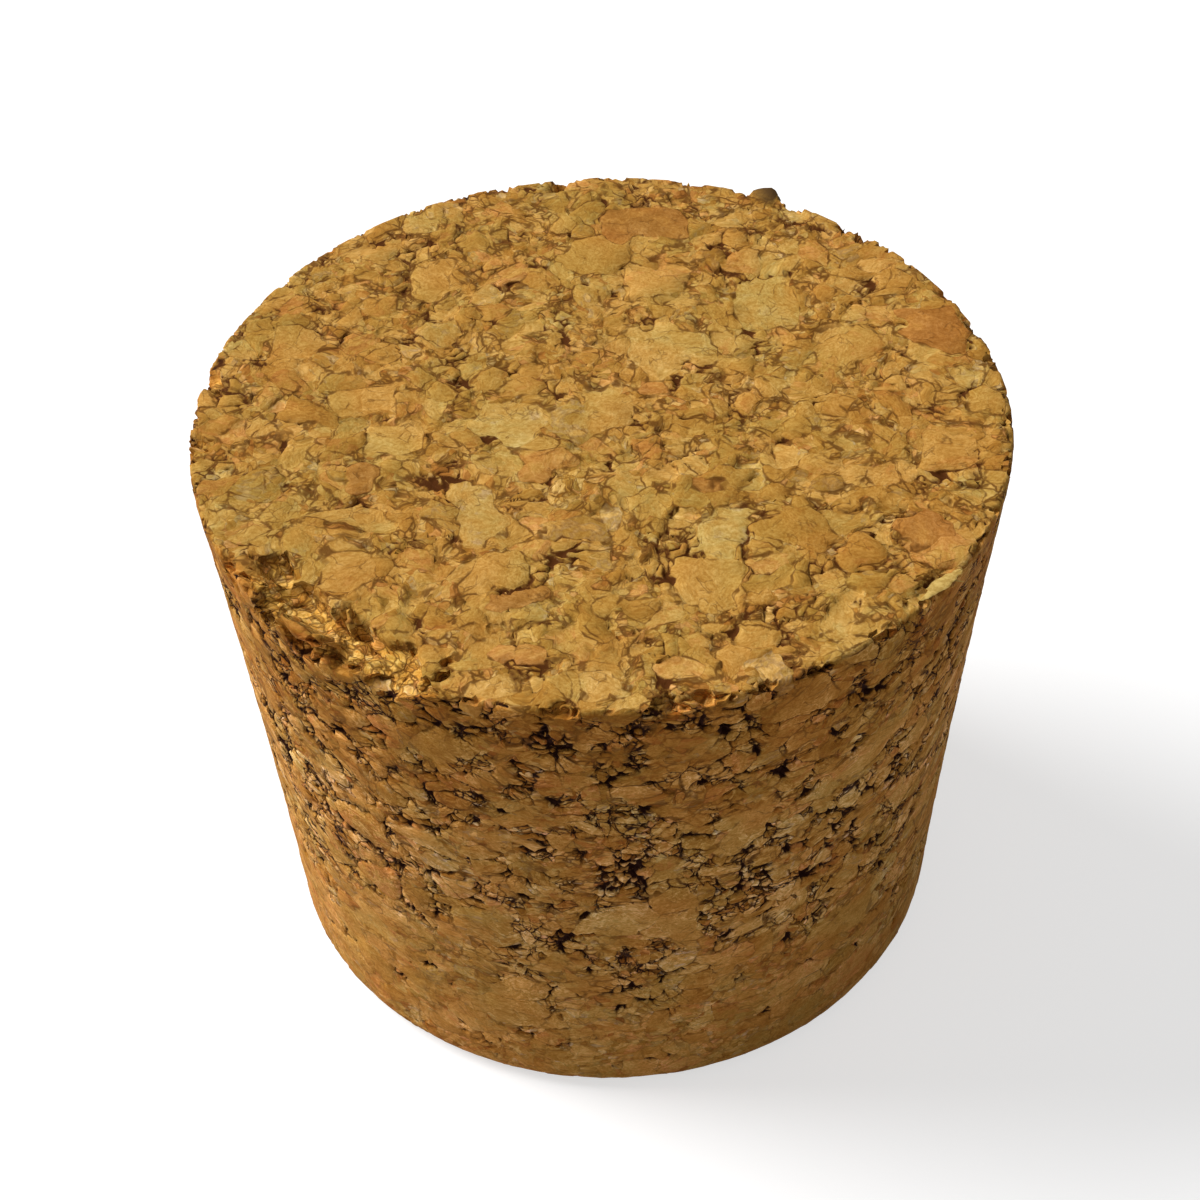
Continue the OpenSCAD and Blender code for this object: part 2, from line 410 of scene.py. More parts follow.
@dataclass
class Granules:
    """All the granules of the body, as functions of the place."""

    mix: GranuleMix = field(default_factory=GranuleMix)
    landmarks: Landmarks = field(default_factory=Landmarks)
    end_height: float = 27.0
    reach: float = 22.5
    middle_height: float = 13.5
    block: int = 50000

    def __post_init__(self) -> None:
        """Lays out the four lattices and the noise."""
        self.large = Lattice(self.mix.large, self.reach)
        self.medium = Lattice(self.mix.medium, self.reach)
        self.crumb = Lattice(self.mix.crumb, self.reach)
        self.dust = Lattice(self.mix.dust, self.reach)
        self.noise = SoftNoise(self.reach)

    def bend(self, place: Array) -> Array:
        """The bent places in which the lattices are read.

        Each is the place from the body's middle, stretched along the axis, plus waves of noise.

        Args:
            place: places in millimetres, one a row.

        Returns:
            The bent places.
        """
        bent = (place - (0.0, 0.0, self.middle_height)) * (1.0, 1.0, self.mix.flatness)
        for wave, amount, shift in self.mix.bends:
            bent += self.noise.at(place, wave, shift) * amount
        return bent

    def unbend(self, point: Array, bent: Array, place: Array) -> Array:
        """Roughly where a granule's point lies truly, from a place and its bent place."""
        return place + (point - bent) / (1.0, 1.0, self.mix.flatness)

    def read(self, place: Array) -> CellReading:
        """Reads the granule at each place, in blocks that fit the processor's cache."""
        blocks = [self.read_block(place[i:i + self.block]) for i in range(0, len(place), self.block)]
        names = ("numbers", "point", "edge", "second", "size")
        return CellReading(*(np.concatenate([getattr(b, name) for b in blocks]) for name in names))

    def read_block(self, place: Array) -> CellReading:
        """Reads the granule at each place: a large one, a medium one or a crumb.

        Args:
            place: places in millimetres, one a row, not yet bent.

        Returns:
            The reading of whichever granule is there, with its points put back in true places.
        """
        bent = self.bend(place)
        large, medium, crumb = (lattice.read(bent) for lattice in (self.large, self.medium, self.crumb))
        whole = large.numbers[:, 0] < self.mix.large_share
        crumbs = ~whole & (medium.numbers[:, 0] < self.mix.crumb_share)

        def choose(name: str) -> Array:
            """The named field of whichever granule is at each place."""
            a, b, c = (getattr(reading, name) for reading in (large, medium, crumb))
            if a.ndim == 2:
                return np.where(whole[:, None], a, np.where(crumbs[:, None], c, b))
            return np.where(whole, a, np.where(crumbs, c, b))

        nested = np.stack([
            large.edge, large.second,
            np.where(whole, np.inf, medium.edge), np.where(whole, np.inf, medium.second),
            np.where(crumbs, crumb.edge, np.inf), np.where(crumbs, crumb.second, np.inf),
        ])
        nested.partition(1, axis=0)
        spot, light, _ = self.landmarks.read(place, self.bend, self.noise, self.end_height)
        marked = spot > 0
        edge = np.where(marked, spot, np.minimum(nested[0], np.abs(spot)))
        second = np.where(marked, spot + 1.0, np.minimum(nested[1], np.maximum(nested[0], np.abs(spot))))
        numbers = choose("numbers")
        numbers[marked] = np.stack([light, light, 1.0 - light], 1)[marked] * 0.4 + 0.3
        point = np.where(marked[:, None], place, self.unbend(choose("point"), bent, place))
        return CellReading(numbers, point, edge, second, np.where(marked, self.mix.large, choose("size")))


# ---- The body ----


@dataclass(frozen=True)
class StopperSizes:
    """The body's driving sizes in millimetres, the same as the solid's."""

    wide_d: float = 35.0
    narrow_d: float = 30.0
    height: float = 27.0
    side_hollow: float = 0.15
    foot_round: float = 1.2
    rim_round: float = 0.25

    def side_r(self, z: Array | float) -> Array | float:
        """Radius of the side at height z: a straight taper less a shallow parabola."""
        s = z / (self.height - self.rim_round)
        return (self.narrow_d + (self.wide_d - self.narrow_d) * s) / 2 - 4 * self.side_hollow * s * (1 - s)


@dataclass(frozen=True)
class Lump:
    """A granule-shaped space that is missing from the rim, in millimetres and degrees."""

    angle: float
    inset: float
    drop: float
    half: tuple[float, float, float]
    turn: float = 0.0


@dataclass(frozen=True)
class RimDamage:
    """Nicks, chips and the broken stretch of the rim, from the same numbers as the solid's."""

    nicks: int = 46
    nick_size: float = 0.8
    nick_smallest: float = 0.4
    nick_depth: float = 0.45
    nick_height: float = 0.6
    nick_stray: float = 0.7
    break_from: float = -149.0
    break_to: float = -117.0
    break_granule: float = 1.15
    break_step: float = 4.0
    break_smallest: float = 0.8
    break_largest: float = 1.25
    break_flattest: float = 0.75
    crack: tuple[float, float, float] = (1.0, 0.28, 1.9)
    chips: tuple[tuple[float, float, float, float], ...] = (
        (-113.8, 0.8, 0.35, 1.5), (-83, 0.6, 0.9, 0.45), (-77, 0.5, 0.6, 0.5), (-6, 0.4, 0.5, 0.5),
        (43, 0.9, 1.1, 0.7), (96, 0.7, 0.5, 0.5), (169, 0.5, 1.2, 0.8), (-178, 0.8, 0.7, 0.35),
    )
    break_rows: tuple[tuple[float, float, float], ...] = ((0.85, 0.1, 0.0), (0.7, 1.3, 0.15))
    nick_ids: int = 1400
    break_ids: int = 1600

    def small(self) -> list[Lump]:
        """The nicks round the rim."""
        lumps = []
        for i in range(self.nicks):
            key = self.nick_ids + i
            size = self.nick_size * pick(self.nick_smallest, 1.0, key, Use.LENGTH)
            angle = 360.0 * (i + self.nick_stray * chance(key, Use.PLACE)) / self.nicks
            lumps.append(Lump(angle, 0.0, 0.0, (size * self.nick_depth, size, size * self.nick_height)))
        return lumps

    def large(self) -> list[Lump]:
        """The chips, the rows of granules gone from the broken stretch, and its two cracks."""
        lumps = [Lump(angle, 0.0, 0.0, (depth, length, height)) for angle, depth, length, height in self.chips]
        count = int((self.break_to - self.break_from) // self.break_step)
        for row, (size, inset, drop) in enumerate(self.break_rows):
            for i in range(count + 1):
                key = self.break_ids + row * (count + 1) + i
                angle = self.break_from + self.break_step * (i + chance(key, Use.PLACE) / 2)
                half = self.break_granule * size * pick(self.break_smallest, self.break_largest, key, Use.LENGTH)
                lumps.append(Lump(angle, inset, drop, (half, half, half * pick(self.break_flattest, 1.0, key, Use.HEIGHT))))
        lumps.append(Lump(self.break_from + 7, 0.55, 0.0, self.crack, 70.0))
        lumps.append(Lump(self.break_to - 12, 2.2, 0.0, self.crack, 64.0))
        return lumps


def within(lumps: list[Lump], place: Array, sizes: StopperSizes) -> Array:
    """Whether each place lies in any of the lumps.

    A lump holds a place whose distances along its three half lengths, squared and added, come
    to less than one.

    Args:
        lumps: the missing granules.
        place: places in millimetres, one a row.
        sizes: the body's sizes.

    Returns:
        One truth value for each place.
    """
    found = np.zeros(len(place), bool)
    for lump in lumps:
        a = math.radians(lump.angle)
        r = sizes.wide_d / 2 - lump.inset
        x, y = place[:, 0] - r * math.cos(a), place[:, 1] - r * math.sin(a)
        z = place[:, 2] - (sizes.height - lump.drop)
        b = a + math.radians(lump.turn)
        u, v = x * math.cos(b) + y * math.sin(b), y * math.cos(b) - x * math.sin(b)
        found |= (u / lump.half[0]) ** 2 + (v / lump.half[1]) ** 2 + (z / lump.half[2]) ** 2 < 1.0
    return found


@dataclass(frozen=True)
class Voids:
    """Voids ground open on the surface, from the same numbers as the solid's, in millimetres."""

    side: int = 330
    wide_end: int = 60
    narrow_end: int = 40
    smallest: float = 0.28
    largest: float = 0.85
    smallness: float = 1.6
    narrowest: float = 0.5
    low: float = 0.06
    high: float = 0.96
    crowding: float = 0.75
    reach: float = 0.94
    golden_turn: float = 137.508
    wide_end_ids: int = 1000
    narrow_end_ids: int = 1200

    def openings(self, sizes: StopperSizes) -> list[tuple[Vector, Vector, Vector, float, float]]:
        """Every void's middle, its two directions along the surface, and its two half lengths.

        Args:
            sizes: the body's sizes.

        Returns:
            One entry for each void.
        """
        found = []

        def add(key: int, middle: Vector, along: Vector, across: Vector) -> None:
            """Adds a void whose length, width and slant come from its key."""
            length = between(self.smallest, self.largest, chance(key, Use.LENGTH) ** self.smallness)
            width = length * pick(self.narrowest, 1.0, key, Use.WIDTH)
            slant = math.radians(180.0 * chance(key, Use.TURN))
            u = along * math.cos(slant) + across * math.sin(slant)
            v = across * math.cos(slant) - along * math.sin(slant)
            found.append((middle, u, v, length, width))

        for i in range(self.side):
            share = ((i + chance(i, Use.PLACE)) / self.side) ** self.crowding
            z = sizes.height * between(self.low, self.high, share)
            turn = Matrix.Rotation(math.radians(self.golden_turn * i), 3, "Z")
            add(i, turn @ Vector((sizes.side_r(z), 0, z)), Vector((0, 0, -1)), turn @ Vector((0, 1, 0)))
        for count, first, face_r, z in (
            (self.wide_end, self.wide_end_ids, sizes.wide_d / 2, sizes.height),
            (self.narrow_end, self.narrow_end_ids, sizes.narrow_d / 2 - sizes.foot_round, 0.0),
        ):
            for i in range(count):
                key = first + i
                r = face_r * self.reach * math.sqrt((i + chance(key, Use.PLACE)) / count)
                turn = Matrix.Rotation(math.radians(self.golden_turn * i), 3, "Z")
                add(key, turn @ Vector((r, 0, z)), turn @ Vector((1, 0, 0)), turn @ Vector((0, 1, 0)))
        return found


@dataclass
class Surface:
    """A closed surface: its places, which way is inwards, its faces, and what each place is on."""

    place: Array
    inward: Array
    faces: Array
    on_side: Array
    on_wide_end: Array


@dataclass
class Shaped:
    """The surface after damage, in millimetres, and what the finish reads of it.

    Fields:
        place: where each point ends up.
        grain: its bent place, in which the granules are read.
        gap: how far into an open joint it lies, below 0 on a granule.
        raw: how freshly broken it is, from 0 to 1.
        ground: 1 on the side, 0 on the ends.
        loose: how open the joints there are, from 0 to 1.
        bark: 1 on a dark bit of bark.
        spot: how deep it lies in a granule that stands out, below 0 outside.
        spot_light: how light that granule is.
        spot_tone: that granule's place on the line of tints.
    """

    place: Array
    grain: Array
    gap: Array
    raw: Array
    ground: Array
    loose: Array
    bark: Array
    spot: Array
    spot_light: Array
    spot_tone: Array


@dataclass
class StopperBody:
    """The whole stopper, one piece of bound granules, with sizes in millimetres."""

    sizes: StopperSizes = field(default_factory=StopperSizes)
    granules: Granules = field(default_factory=Granules)
    damage: RimDamage = field(default_factory=RimDamage)
    voids: Voids = field(default_factory=Voids)
    # Points along one edge of an end's square grid, and rows down the side
    end_points: int = 361
    side_rows: int = 318
    arc_rows: int = 6
    foot_rows: int = 16
    # How far in the core lies that every inward direction points at
    core_depth: float = 2.6
    # Most triangles in the finished piece
    triangles: int = 198500
    sharp_angle: float = 62.0
    # Half width of a joint, how much it varies, and how much an open place adds, on end and side
    joint_half_width: tuple[float, float] = (0.026, 0.0)
    joint_spread: tuple[float, float] = (0.055, 0.04)
    # How far open corners are rounded, and how readily clusters of them open
    corner_rounding: tuple[float, float] = (0.3, 0.38)
    rounding_share: tuple[float, float] = (0.2, 0.34)
    cluster_level: tuple[float, float] = (-0.36, 0.42)
    cluster_swing: tuple[float, float] = (0.9, 0.45)
    single_level: tuple[float, float] = (0.17, 0.12)
    void_strength: tuple[float, float] = (0.6, 1.0)
    void_widening: float = 0.05
    void_reach: float = 1.5
    gap_slope: tuple[float, float] = (1.6, 2.6)
    deepest_gap: float = 0.3
    # How unevenly the granules' cut faces lie
    level_spread: float = 0.105
    lean_slope: float = 0.15
    pillow_depth: float = 0.026
    pillow_reach: float = 0.09
    wave_depth: float = 0.014
    side_calm: float = 0.33
    # The depth that breaks come near to and never pass
    break_limit: float = 1.15
    # How far the wide end's places are drawn towards their neighbours
    end_softening: float = 0.42
    wear_depth: float = 0.04
    wear_reach: float = 0.4
    # The crumb that stands proud just under the back of the rim
    crumb_angle: float = 62.7
    crumb_size: float = 0.66
    crumb_drop: float = 0.35
    # The hollow in the rim in which the pale flake lies: its angle, radius, half lengths and depth
    bed_angle: float = -39.2
    bed_radius: float = 17.2
    bed_half: tuple[float, float] = (1.4, 0.55)
    bed_depth: float = 0.27

    def profile(self) -> Array:
        """Radius and height down the side, from the wide end's flat to the narrow end's.

        Returns:
            One row of radius and height for each ring: an arc, the side, and a larger arc.
        """
        s = self.sizes
        top = np.linspace(math.pi / 2, 0.0, self.arc_rows)
        rim = np.stack([
            s.wide_d / 2 - s.rim_round + s.rim_round * np.cos(top),
            s.height - s.rim_round + s.rim_round * np.sin(top),
        ], 1)
        z = np.linspace(s.height - s.rim_round, s.foot_round, self.side_rows)[1:-1]
        side = np.stack([s.side_r(z), z], 1)
        low = np.linspace(0.0, -math.pi / 2, self.foot_rows)
        foot = np.stack([
            s.side_r(s.foot_round) - s.foot_round + s.foot_round * np.cos(low),
            s.foot_round + s.foot_round * np.sin(low),
        ], 1)
        return np.concatenate([rim, side, foot])

    def disc(self, radius: float) -> Array:
        """A square grid drawn in to a disc, so that its edge points are evenly spaced.

        The larger coordinate becomes the radius, and the smaller over the larger the angle.

        Args:
            radius: the disc's radius.

        Returns:
            The grid's points, as rows by columns by x and y.
        """
        line = np.linspace(-1.0, 1.0, self.end_points)
        a, b = np.meshgrid(line, line, indexing="ij")
        wide = np.abs(a) >= np.abs(b)
        over = np.where(wide, a, b)
        ratio = np.divide(np.where(wide, b, a), over, out=np.zeros_like(a), where=over != 0)
        turn = np.where(wide, ratio * math.pi / 4, math.pi / 2 - ratio * math.pi / 4)
        return np.stack([over * np.cos(turn), over * np.sin(turn)], -1) * radius

    def surface(self) -> Surface:
        """Lays out the undamaged body: rings down the side, closed by a disc at each end.

        Returns:
            The closed surface, with faces outwards.
        """
        n = self.end_points
        around = 4 * (n - 1)
        rings = self.profile()
        rows = len(rings)
        angle = -math.pi / 4 + 2 * math.pi * np.arange(around) / around
        side = np.empty((rows, around, 3))
        side[..., 0] = rings[:, :1] * np.cos(angle)
        side[..., 1] = rings[:, :1] * np.sin(angle)
        side[..., 2] = rings[:, 1:]

        grid = np.arange(n)
        edge_a = np.concatenate([np.full(n - 1, n - 1), grid[:0:-1], np.zeros(n - 1, int), grid[:-1]])
        edge_b = np.concatenate([grid[:-1], np.full(n - 1, n - 1), grid[:0:-1], np.zeros(n - 1, int)])
        places, faces = [side.reshape(-1, 3)], []
        index = np.arange(rows * around).reshape(rows, around)
        beside = np.roll(index, -1, axis=1)
        faces.append(np.stack([index[:-1], index[1:], beside[1:], beside[:-1]], -1).reshape(-1, 4))
        start = rows * around
        for ring, z, outwards in ((0, self.sizes.height, 1), (rows - 1, 0.0, -1)):
            flat = self.disc(rings[ring, 0])
            table = np.empty((n, n), int)
            table[edge_a, edge_b] = index[ring]
            table[1:-1, 1:-1] = start + np.arange((n - 2) ** 2).reshape(n - 2, n - 2)
            inner = flat[1:-1, 1:-1].reshape(-1, 2)
            places.append(np.column_stack([inner, np.full(len(inner), z)]))
            start += len(inner)
            quads = np.stack([table[:-1, :-1], table[1:, :-1], table[1:, 1:], table[:-1, 1:]], -1).reshape(-1, 4)
            faces.append(quads[:, ::outwards])
        place = np.concatenate(places)

        r = np.hypot(place[:, 0], place[:, 1])
        core_r = self.sizes.side_r(place[:, 2]) - self.core_depth
        target_r = np.minimum(r, core_r)
        shrink = target_r / np.maximum(r, 1e-9)
        target = np.column_stack([
            place[:, 0] * shrink, place[:, 1] * shrink,
            np.clip(place[:, 2], self.core_depth, self.sizes.height - self.core_depth),
        ])
        inward = target - place
        inward /= np.linalg.norm(inward, axis=1)[:, None]
        flat_top = place[:, 2] > self.sizes.height - 1e-6
        flat_foot = place[:, 2] < 1e-6
        return Surface(place, inward, np.concatenate(faces), ~(flat_top | flat_foot), flat_top)

    def crumbled(self, surface: Surface, near: Array, lumps: list[Lump], whole: bool) -> Array:
        """How deep each place lies once the granules in some lumps are gone.

        A granule is gone if its own point lies in a lump. From each place a step inwards is
        taken as long as the granule there is gone, and the last step is then halved.

        Args:
            surface: the undamaged surface.
            near: which places to work on.
            lumps: the spaces from which granules are gone.
            whole: whether whole granules go, or only crumbs.

        Returns:
            The depth in millimetres for every place.
        """
        depth = np.zeros(len(surface.place))
        step, reach = 0.06, self.core_depth - 0.3
        rest, inward = surface.place[near], surface.inward[near]

        def gone(where: Array, how_deep: Array) -> Array:
            """Whether the granule at this depth under each of some places is gone."""
            place = rest[where] + inward[where] * how_deep[:, None]
            if whole:
                point = self.granules.read(place).point
            else:
                bent = self.granules.bend(place)
                base, _, found, _ = self.granules.dust.nearest(bent)
                point = self.granules.unbend((found + base) * self.granules.dust.size, bent, place)
            return within(lumps, point, self.sizes)

        own = np.zeros(len(rest))
        alive = np.arange(len(rest))
        for level in np.arange(0.0, reach, step):
            alive = alive[gone(alive, np.full(len(alive), level))]
            if not len(alive):
                break
            own[alive] = level + step
        cut = np.flatnonzero(own > 0)
        low, high = own[cut] - step, own[cut].copy()
        for _ in range(3):
            middle = (low + high) / 2
            open_ = gone(cut, middle)
            low, high = np.where(open_, middle, low), np.where(open_, high, middle)
        own[cut] = high
        depth[near] = own
        return depth
    def near_voids(self, surface: Surface) -> Array:
        """How near each place is to a void that was ground open, from 0 to 1.

        It falls softly from 1 in the void's middle to 0 at a few of its half lengths.

        Args:
            surface: the undamaged surface.

        Returns:
            The nearness, 0 away from every void.
        """
        nearness = np.zeros(len(surface.place))
        for middle, u, v, length, width in self.voids.openings(self.sizes):
            near = np.flatnonzero(np.abs(surface.place - np.array(middle)).max(1) < length * self.void_reach)
            apart = surface.place[near] - np.array(middle)
            along, across = apart @ np.array(u) / length, apart @ np.array(v) / width
            away = np.sqrt(along**2 + across**2) / self.void_reach
            nearness[near] = np.maximum(nearness[near], smooth_step(0.0, 1.0, 1.0 - away))
        return nearness

    def crumb_rise(self, surface: Surface) -> Array:
        """How far the proud crumb under the back of the rim lifts each place.

        It is the distance from the place, straight outwards, to a ball round the crumb's middle.

        Args:
            surface: the undamaged surface.

        Returns:
            The rise in millimetres, 0 away from the crumb.
        """
        angle = math.radians(self.crumb_angle)
        r = self.sizes.wide_d / 2
        middle = np.array((r * math.cos(angle), r * math.sin(angle), self.sizes.height - self.crumb_drop))
        apart = surface.place - middle
        outwards = -(apart * surface.inward).sum(1)
        size = self.crumb_size * (1.0 + 0.2 * self.granules.noise.at(surface.place, 0.4, 1.7)[:, 0])
        inside = outwards**2 - (apart**2).sum(1) + size**2
        return np.where(inside > 0, np.maximum(np.sqrt(np.maximum(inside, 0)) - outwards, 0), 0)

    def flake_bed(self, surface: Surface) -> Array:
        """How deep the hollow under the pale flake is at each place, as a soft bell along the rim.

        Args:
            surface: the undamaged surface.

        Returns:
            The depth in millimetres, all but 0 away from the flake.
        """
        angle = math.radians(self.bed_angle)
        x, y, z = surface.place.T
        out = x * math.cos(angle) + y * math.sin(angle) - self.bed_radius
        along = y * math.cos(angle) - x * math.sin(angle)
        away = (along / self.bed_half[0]) ** 2 + (out**2 + (z - self.sizes.height) ** 2) / self.bed_half[1] ** 2
        return self.bed_depth * np.exp(-away * away) * (out > -self.bed_radius)

    def gaps(self, surface: Surface, reading: CellReading) -> tuple[Array, Array]:
        """How far inside an open joint each place lies.

        A joint is open where a soft minimum of the distances to the two nearest granule faces is
        under the joint's half width. The soft minimum rounds the granules' corners, so that three
        of them leave a hollow-sided gap where they meet. Soft noise picks out clusters of such
        gaps, most of them on the upper side, and the voids add their own.

        Args:
            surface: the undamaged surface.
            reading: the granule at each place.

        Returns:
            The gap in millimetres, below 0 on a granule, and how open the joints are, up to 1.
        """
        noise, place = self.granules.noise, surface.place

        def on(pair: tuple[float, float]) -> Array:
            """A pair's first value on the ends and its second on the side."""
            return np.where(surface.on_side, pair[1], pair[0])

        height = place[:, 2] / self.sizes.height
        up = np.where(surface.on_side, smooth_step(0.15, 0.6, height) - 0.5, 0.0)
        cluster = noise.at(place, 2.6, 5.5)[:, 0] * on(self.cluster_swing) + on(self.cluster_level) + up * 0.7
        single = noise.at(place, 0.75, 8.7)[:, 1] + on(self.single_level)
        opened = smooth_step(-0.1, 0.5, cluster) * smooth_step(-0.3, 0.3, single)
        voids = self.near_voids(surface)
        voids *= on(self.void_strength)
        widest = np.minimum(on(self.corner_rounding), on(self.rounding_share) * reading.size)
        rounding = 0.02 + np.maximum(opened, voids * 1.4) * widest
        close = np.maximum(rounding - np.abs(reading.second - reading.edge), 0.0) / rounding
        soft_edge = reading.edge - close**2 * rounding / 4
        width = on(self.joint_half_width) + on(self.joint_spread) * noise.at(place, 1.2, 2.2)[:, 1]
        width += 0.02 * noise.at(place, 0.4, 6.1)[:, 0]
        return width + voids * self.void_widening - soft_edge, np.maximum(opened, voids)

    def unevenness(self, surface: Surface, reading: CellReading) -> Array:
        """How deep each granule's cut face lies: its own level and lean, and rounded edges.

        Args:
            surface: the undamaged surface.
            reading: the granule at each place.

        Returns:
            The depth in millimetres.
        """
        level = self.level_spread * reading.numbers[:, 1]
        lean = ((surface.place - reading.point) * (reading.numbers[:, ::-1] - 0.5)).sum(1) * self.lean_slope
        pillow = self.pillow_depth * np.exp(-np.maximum(reading.edge, 0) / self.pillow_reach)
        wave = self.wave_depth * self.granules.noise.at(surface.place, 0.45, 9.1)[:, 2]
        return (level + lean + pillow + wave) * np.where(surface.on_side, self.side_calm, 1.0)

    def crumbly(self, surface: Surface, broken: Array) -> Array:
        """The uneven crumbs laid bare in a break: each at its own level, with sunk edges.

        Args:
            surface: the undamaged surface.
            broken: how deep each place has broken away.

        Returns:
            A further depth in millimetres, 0 where nothing is broken.
        """
        depth = np.zeros(len(broken))
        bare = np.flatnonzero(broken > 0)
        bent = self.granules.bend(surface.place[bare] + surface.inward[bare] * broken[bare][:, None])
        for lattice, level, sink, reach in (
            (self.granules.crumb, 0.19, 0.12, 0.08), (self.granules.dust, 0.03, 0.03, 0.05),
        ):
            reading = lattice.read(bent)
            depth[bare] += level * reading.numbers[:, 1] + sink * np.exp(-np.maximum(reading.edge, 0) / reach)
        return depth * smooth_step(0.0, 0.3, broken)

    def relaxed(self, place: Array, faces: Array, share: Array, rounds: int = 1) -> Array:
        """Draws some places towards the middle of their neighbours, so that steep walls keep even faces.

        Args:
            place: all places.
            faces: the four corners of each face.
            share: how far each place may move, from 0 to 1.
            rounds: how often it is done.

        Returns:
            The moved places.
        """
        moving = (share[faces] > 0).any(1)
        start, end = faces[moving].ravel(), np.roll(faces[moving], -1, axis=1).ravel()
        count = np.maximum(np.bincount(start, minlength=len(place)) + np.bincount(end, minlength=len(place)), 1)
        for _ in range(rounds):
            total = np.stack([
                np.bincount(start, place[end, axis], len(place)) + np.bincount(end, place[start, axis], len(place))
                for axis in range(3)
            ], 1)
            place = place + (total / count[:, None] - place) * (0.5 * share * (share > 0))[:, None]
        return place

    def damaged(self, surface: Surface) -> Shaped:
        """Pushes the surface inwards by its joints, voids, chips and breaks.

        Args:
            surface: the undamaged surface.

        Returns:
            The shaped places, and what the finish needs to know of each.
        """
        reading = self.granules.read(surface.place)
        log.info("read the granules at %d places", len(surface.place))
        gap, loose = self.gaps(surface, reading)
        slope = np.where(surface.on_side, self.gap_slope[1], self.gap_slope[0])
        depth = self.unevenness(surface, reading) + np.clip(gap, 0, self.deepest_gap) * slope

        from_rim = np.hypot(
            np.hypot(surface.place[:, 0], surface.place[:, 1]) - self.sizes.wide_d / 2,
            surface.place[:, 2] - self.sizes.height,
        )
        worn = np.exp(-((from_rim / self.wear_reach) ** 2))
        depth += worn * self.wear_depth * (1.0 + self.granules.noise.at(surface.place, 3.2, 4.4)[:, 0])
        depth = np.maximum(depth, 0.0) + self.flake_bed(surface)

        near = np.flatnonzero(from_rim < 4.5)
        small = self.crumbled(surface, near[from_rim[near] < 1.3], self.damage.small(), whole=False)
        large = self.crumbled(surface, near, self.damage.large(), whole=True)
        log.info("broke %d places out of the rim", int((large > 0).sum()))
        broken = self.break_limit * np.tanh(np.maximum(small, large) / self.break_limit)
        depth = np.where(broken > 0, broken + depth + self.crumbly(surface, broken), depth)
        depth = np.minimum(depth, self.core_depth - 0.25)
        rise = self.crumb_rise(surface)
        depth = np.where(rise > 0, -rise, depth)

        place = surface.place + surface.inward * depth[:, None]
        softened = np.maximum(smooth_step(0.0, 0.3, broken) * 0.6, surface.on_wide_end * self.end_softening)
        place = self.relaxed(place, surface.faces, softened)
        place[:, 2] = np.clip(place[:, 2], 0.0, self.sizes.height)
        spot, spot_light, spot_tone = self.granules.landmarks.read(
            surface.place, self.granules.bend, self.granules.noise, self.sizes.height)
        return Shaped(
            place=place,
            grain=self.granules.bend(place),
            gap=np.clip(gap, -0.3, 0.6),
            raw=smooth_step(0.1, 0.4, broken),
            ground=(place[:, 2] < self.sizes.height - self.sizes.rim_round * 0.6) * surface.on_side.astype(float),
            loose=loose,
            bark=smooth_step(0.0, 0.12, rise),
            spot=np.where(broken > 0.3, -1.0, spot),
            spot_light=spot_light,
            spot_tone=spot_tone,
        )

    def mesh(self, surface: Surface, shaped: Shaped) -> bpy.types.Mesh:
        """Puts the shaped surface into a mesh, with its attributes.

        Args:
            surface: the undamaged surface, for its faces.
            shaped: the shaped places and their attributes.

        Returns:
            The mesh, in metres.
        """
        mesh = bpy.data.meshes.new("stopper_body")
        faces = surface.faces
        mesh.vertices.add(len(shaped.place))
        mesh.vertices.foreach_set("co", (shaped.place * MM).astype(np.float32).ravel())
        mesh.loops.add(faces.size)
        mesh.loops.foreach_set("vertex_index", faces.astype(np.int32).ravel())
        mesh.polygons.add(len(faces))
        mesh.polygons.foreach_set("loop_start", np.arange(0, faces.size, 4, dtype=np.int32))
        mesh.update(calc_edges=True)
        grain = mesh.attributes.new("grain", "FLOAT_VECTOR", "POINT")
        grain.data.foreach_set("vector", shaped.grain.astype(np.float32).ravel())
        for name in ("gap", "raw", "ground", "loose", "bark", "spot", "spot_light", "spot_tone"):
            values = getattr(shaped, name).astype(np.float32)
            mesh.attributes.new(name, "FLOAT", "POINT").data.foreach_set("value", values)
        return mesh

    def without_folds(self, mesh: bpy.types.Mesh) -> None:
        """Takes out the faces that thinning has folded back on a neighbour.

        The tip of such a fold is a corner that only two edges reach, because its two faces share
        both of them.

        Args:
            mesh: the thinned mesh, changed in place.
        """
        work = bmesh.new()
        work.from_mesh(mesh)
        tips = [corner for corner in work.verts if len(corner.link_edges) == 2]
        for tip in tips:
            bmesh.utils.vert_collapse_edge(tip, tip.link_edges[0])
        work.to_mesh(mesh)
        work.free()
        log.info("took out %d folds", len(tips))

    def keep_between_ends(self, mesh: bpy.types.Mesh) -> None:
        """Puts back any point that thinning has moved above the wide end or below the narrow one."""
        place = np.empty(len(mesh.vertices) * 3, np.float32)
        mesh.vertices.foreach_get("co", place)
        place[2::3] = np.clip(place[2::3], 0.0, self.sizes.height * MM)
        mesh.vertices.foreach_set("co", place)
        mesh.update()

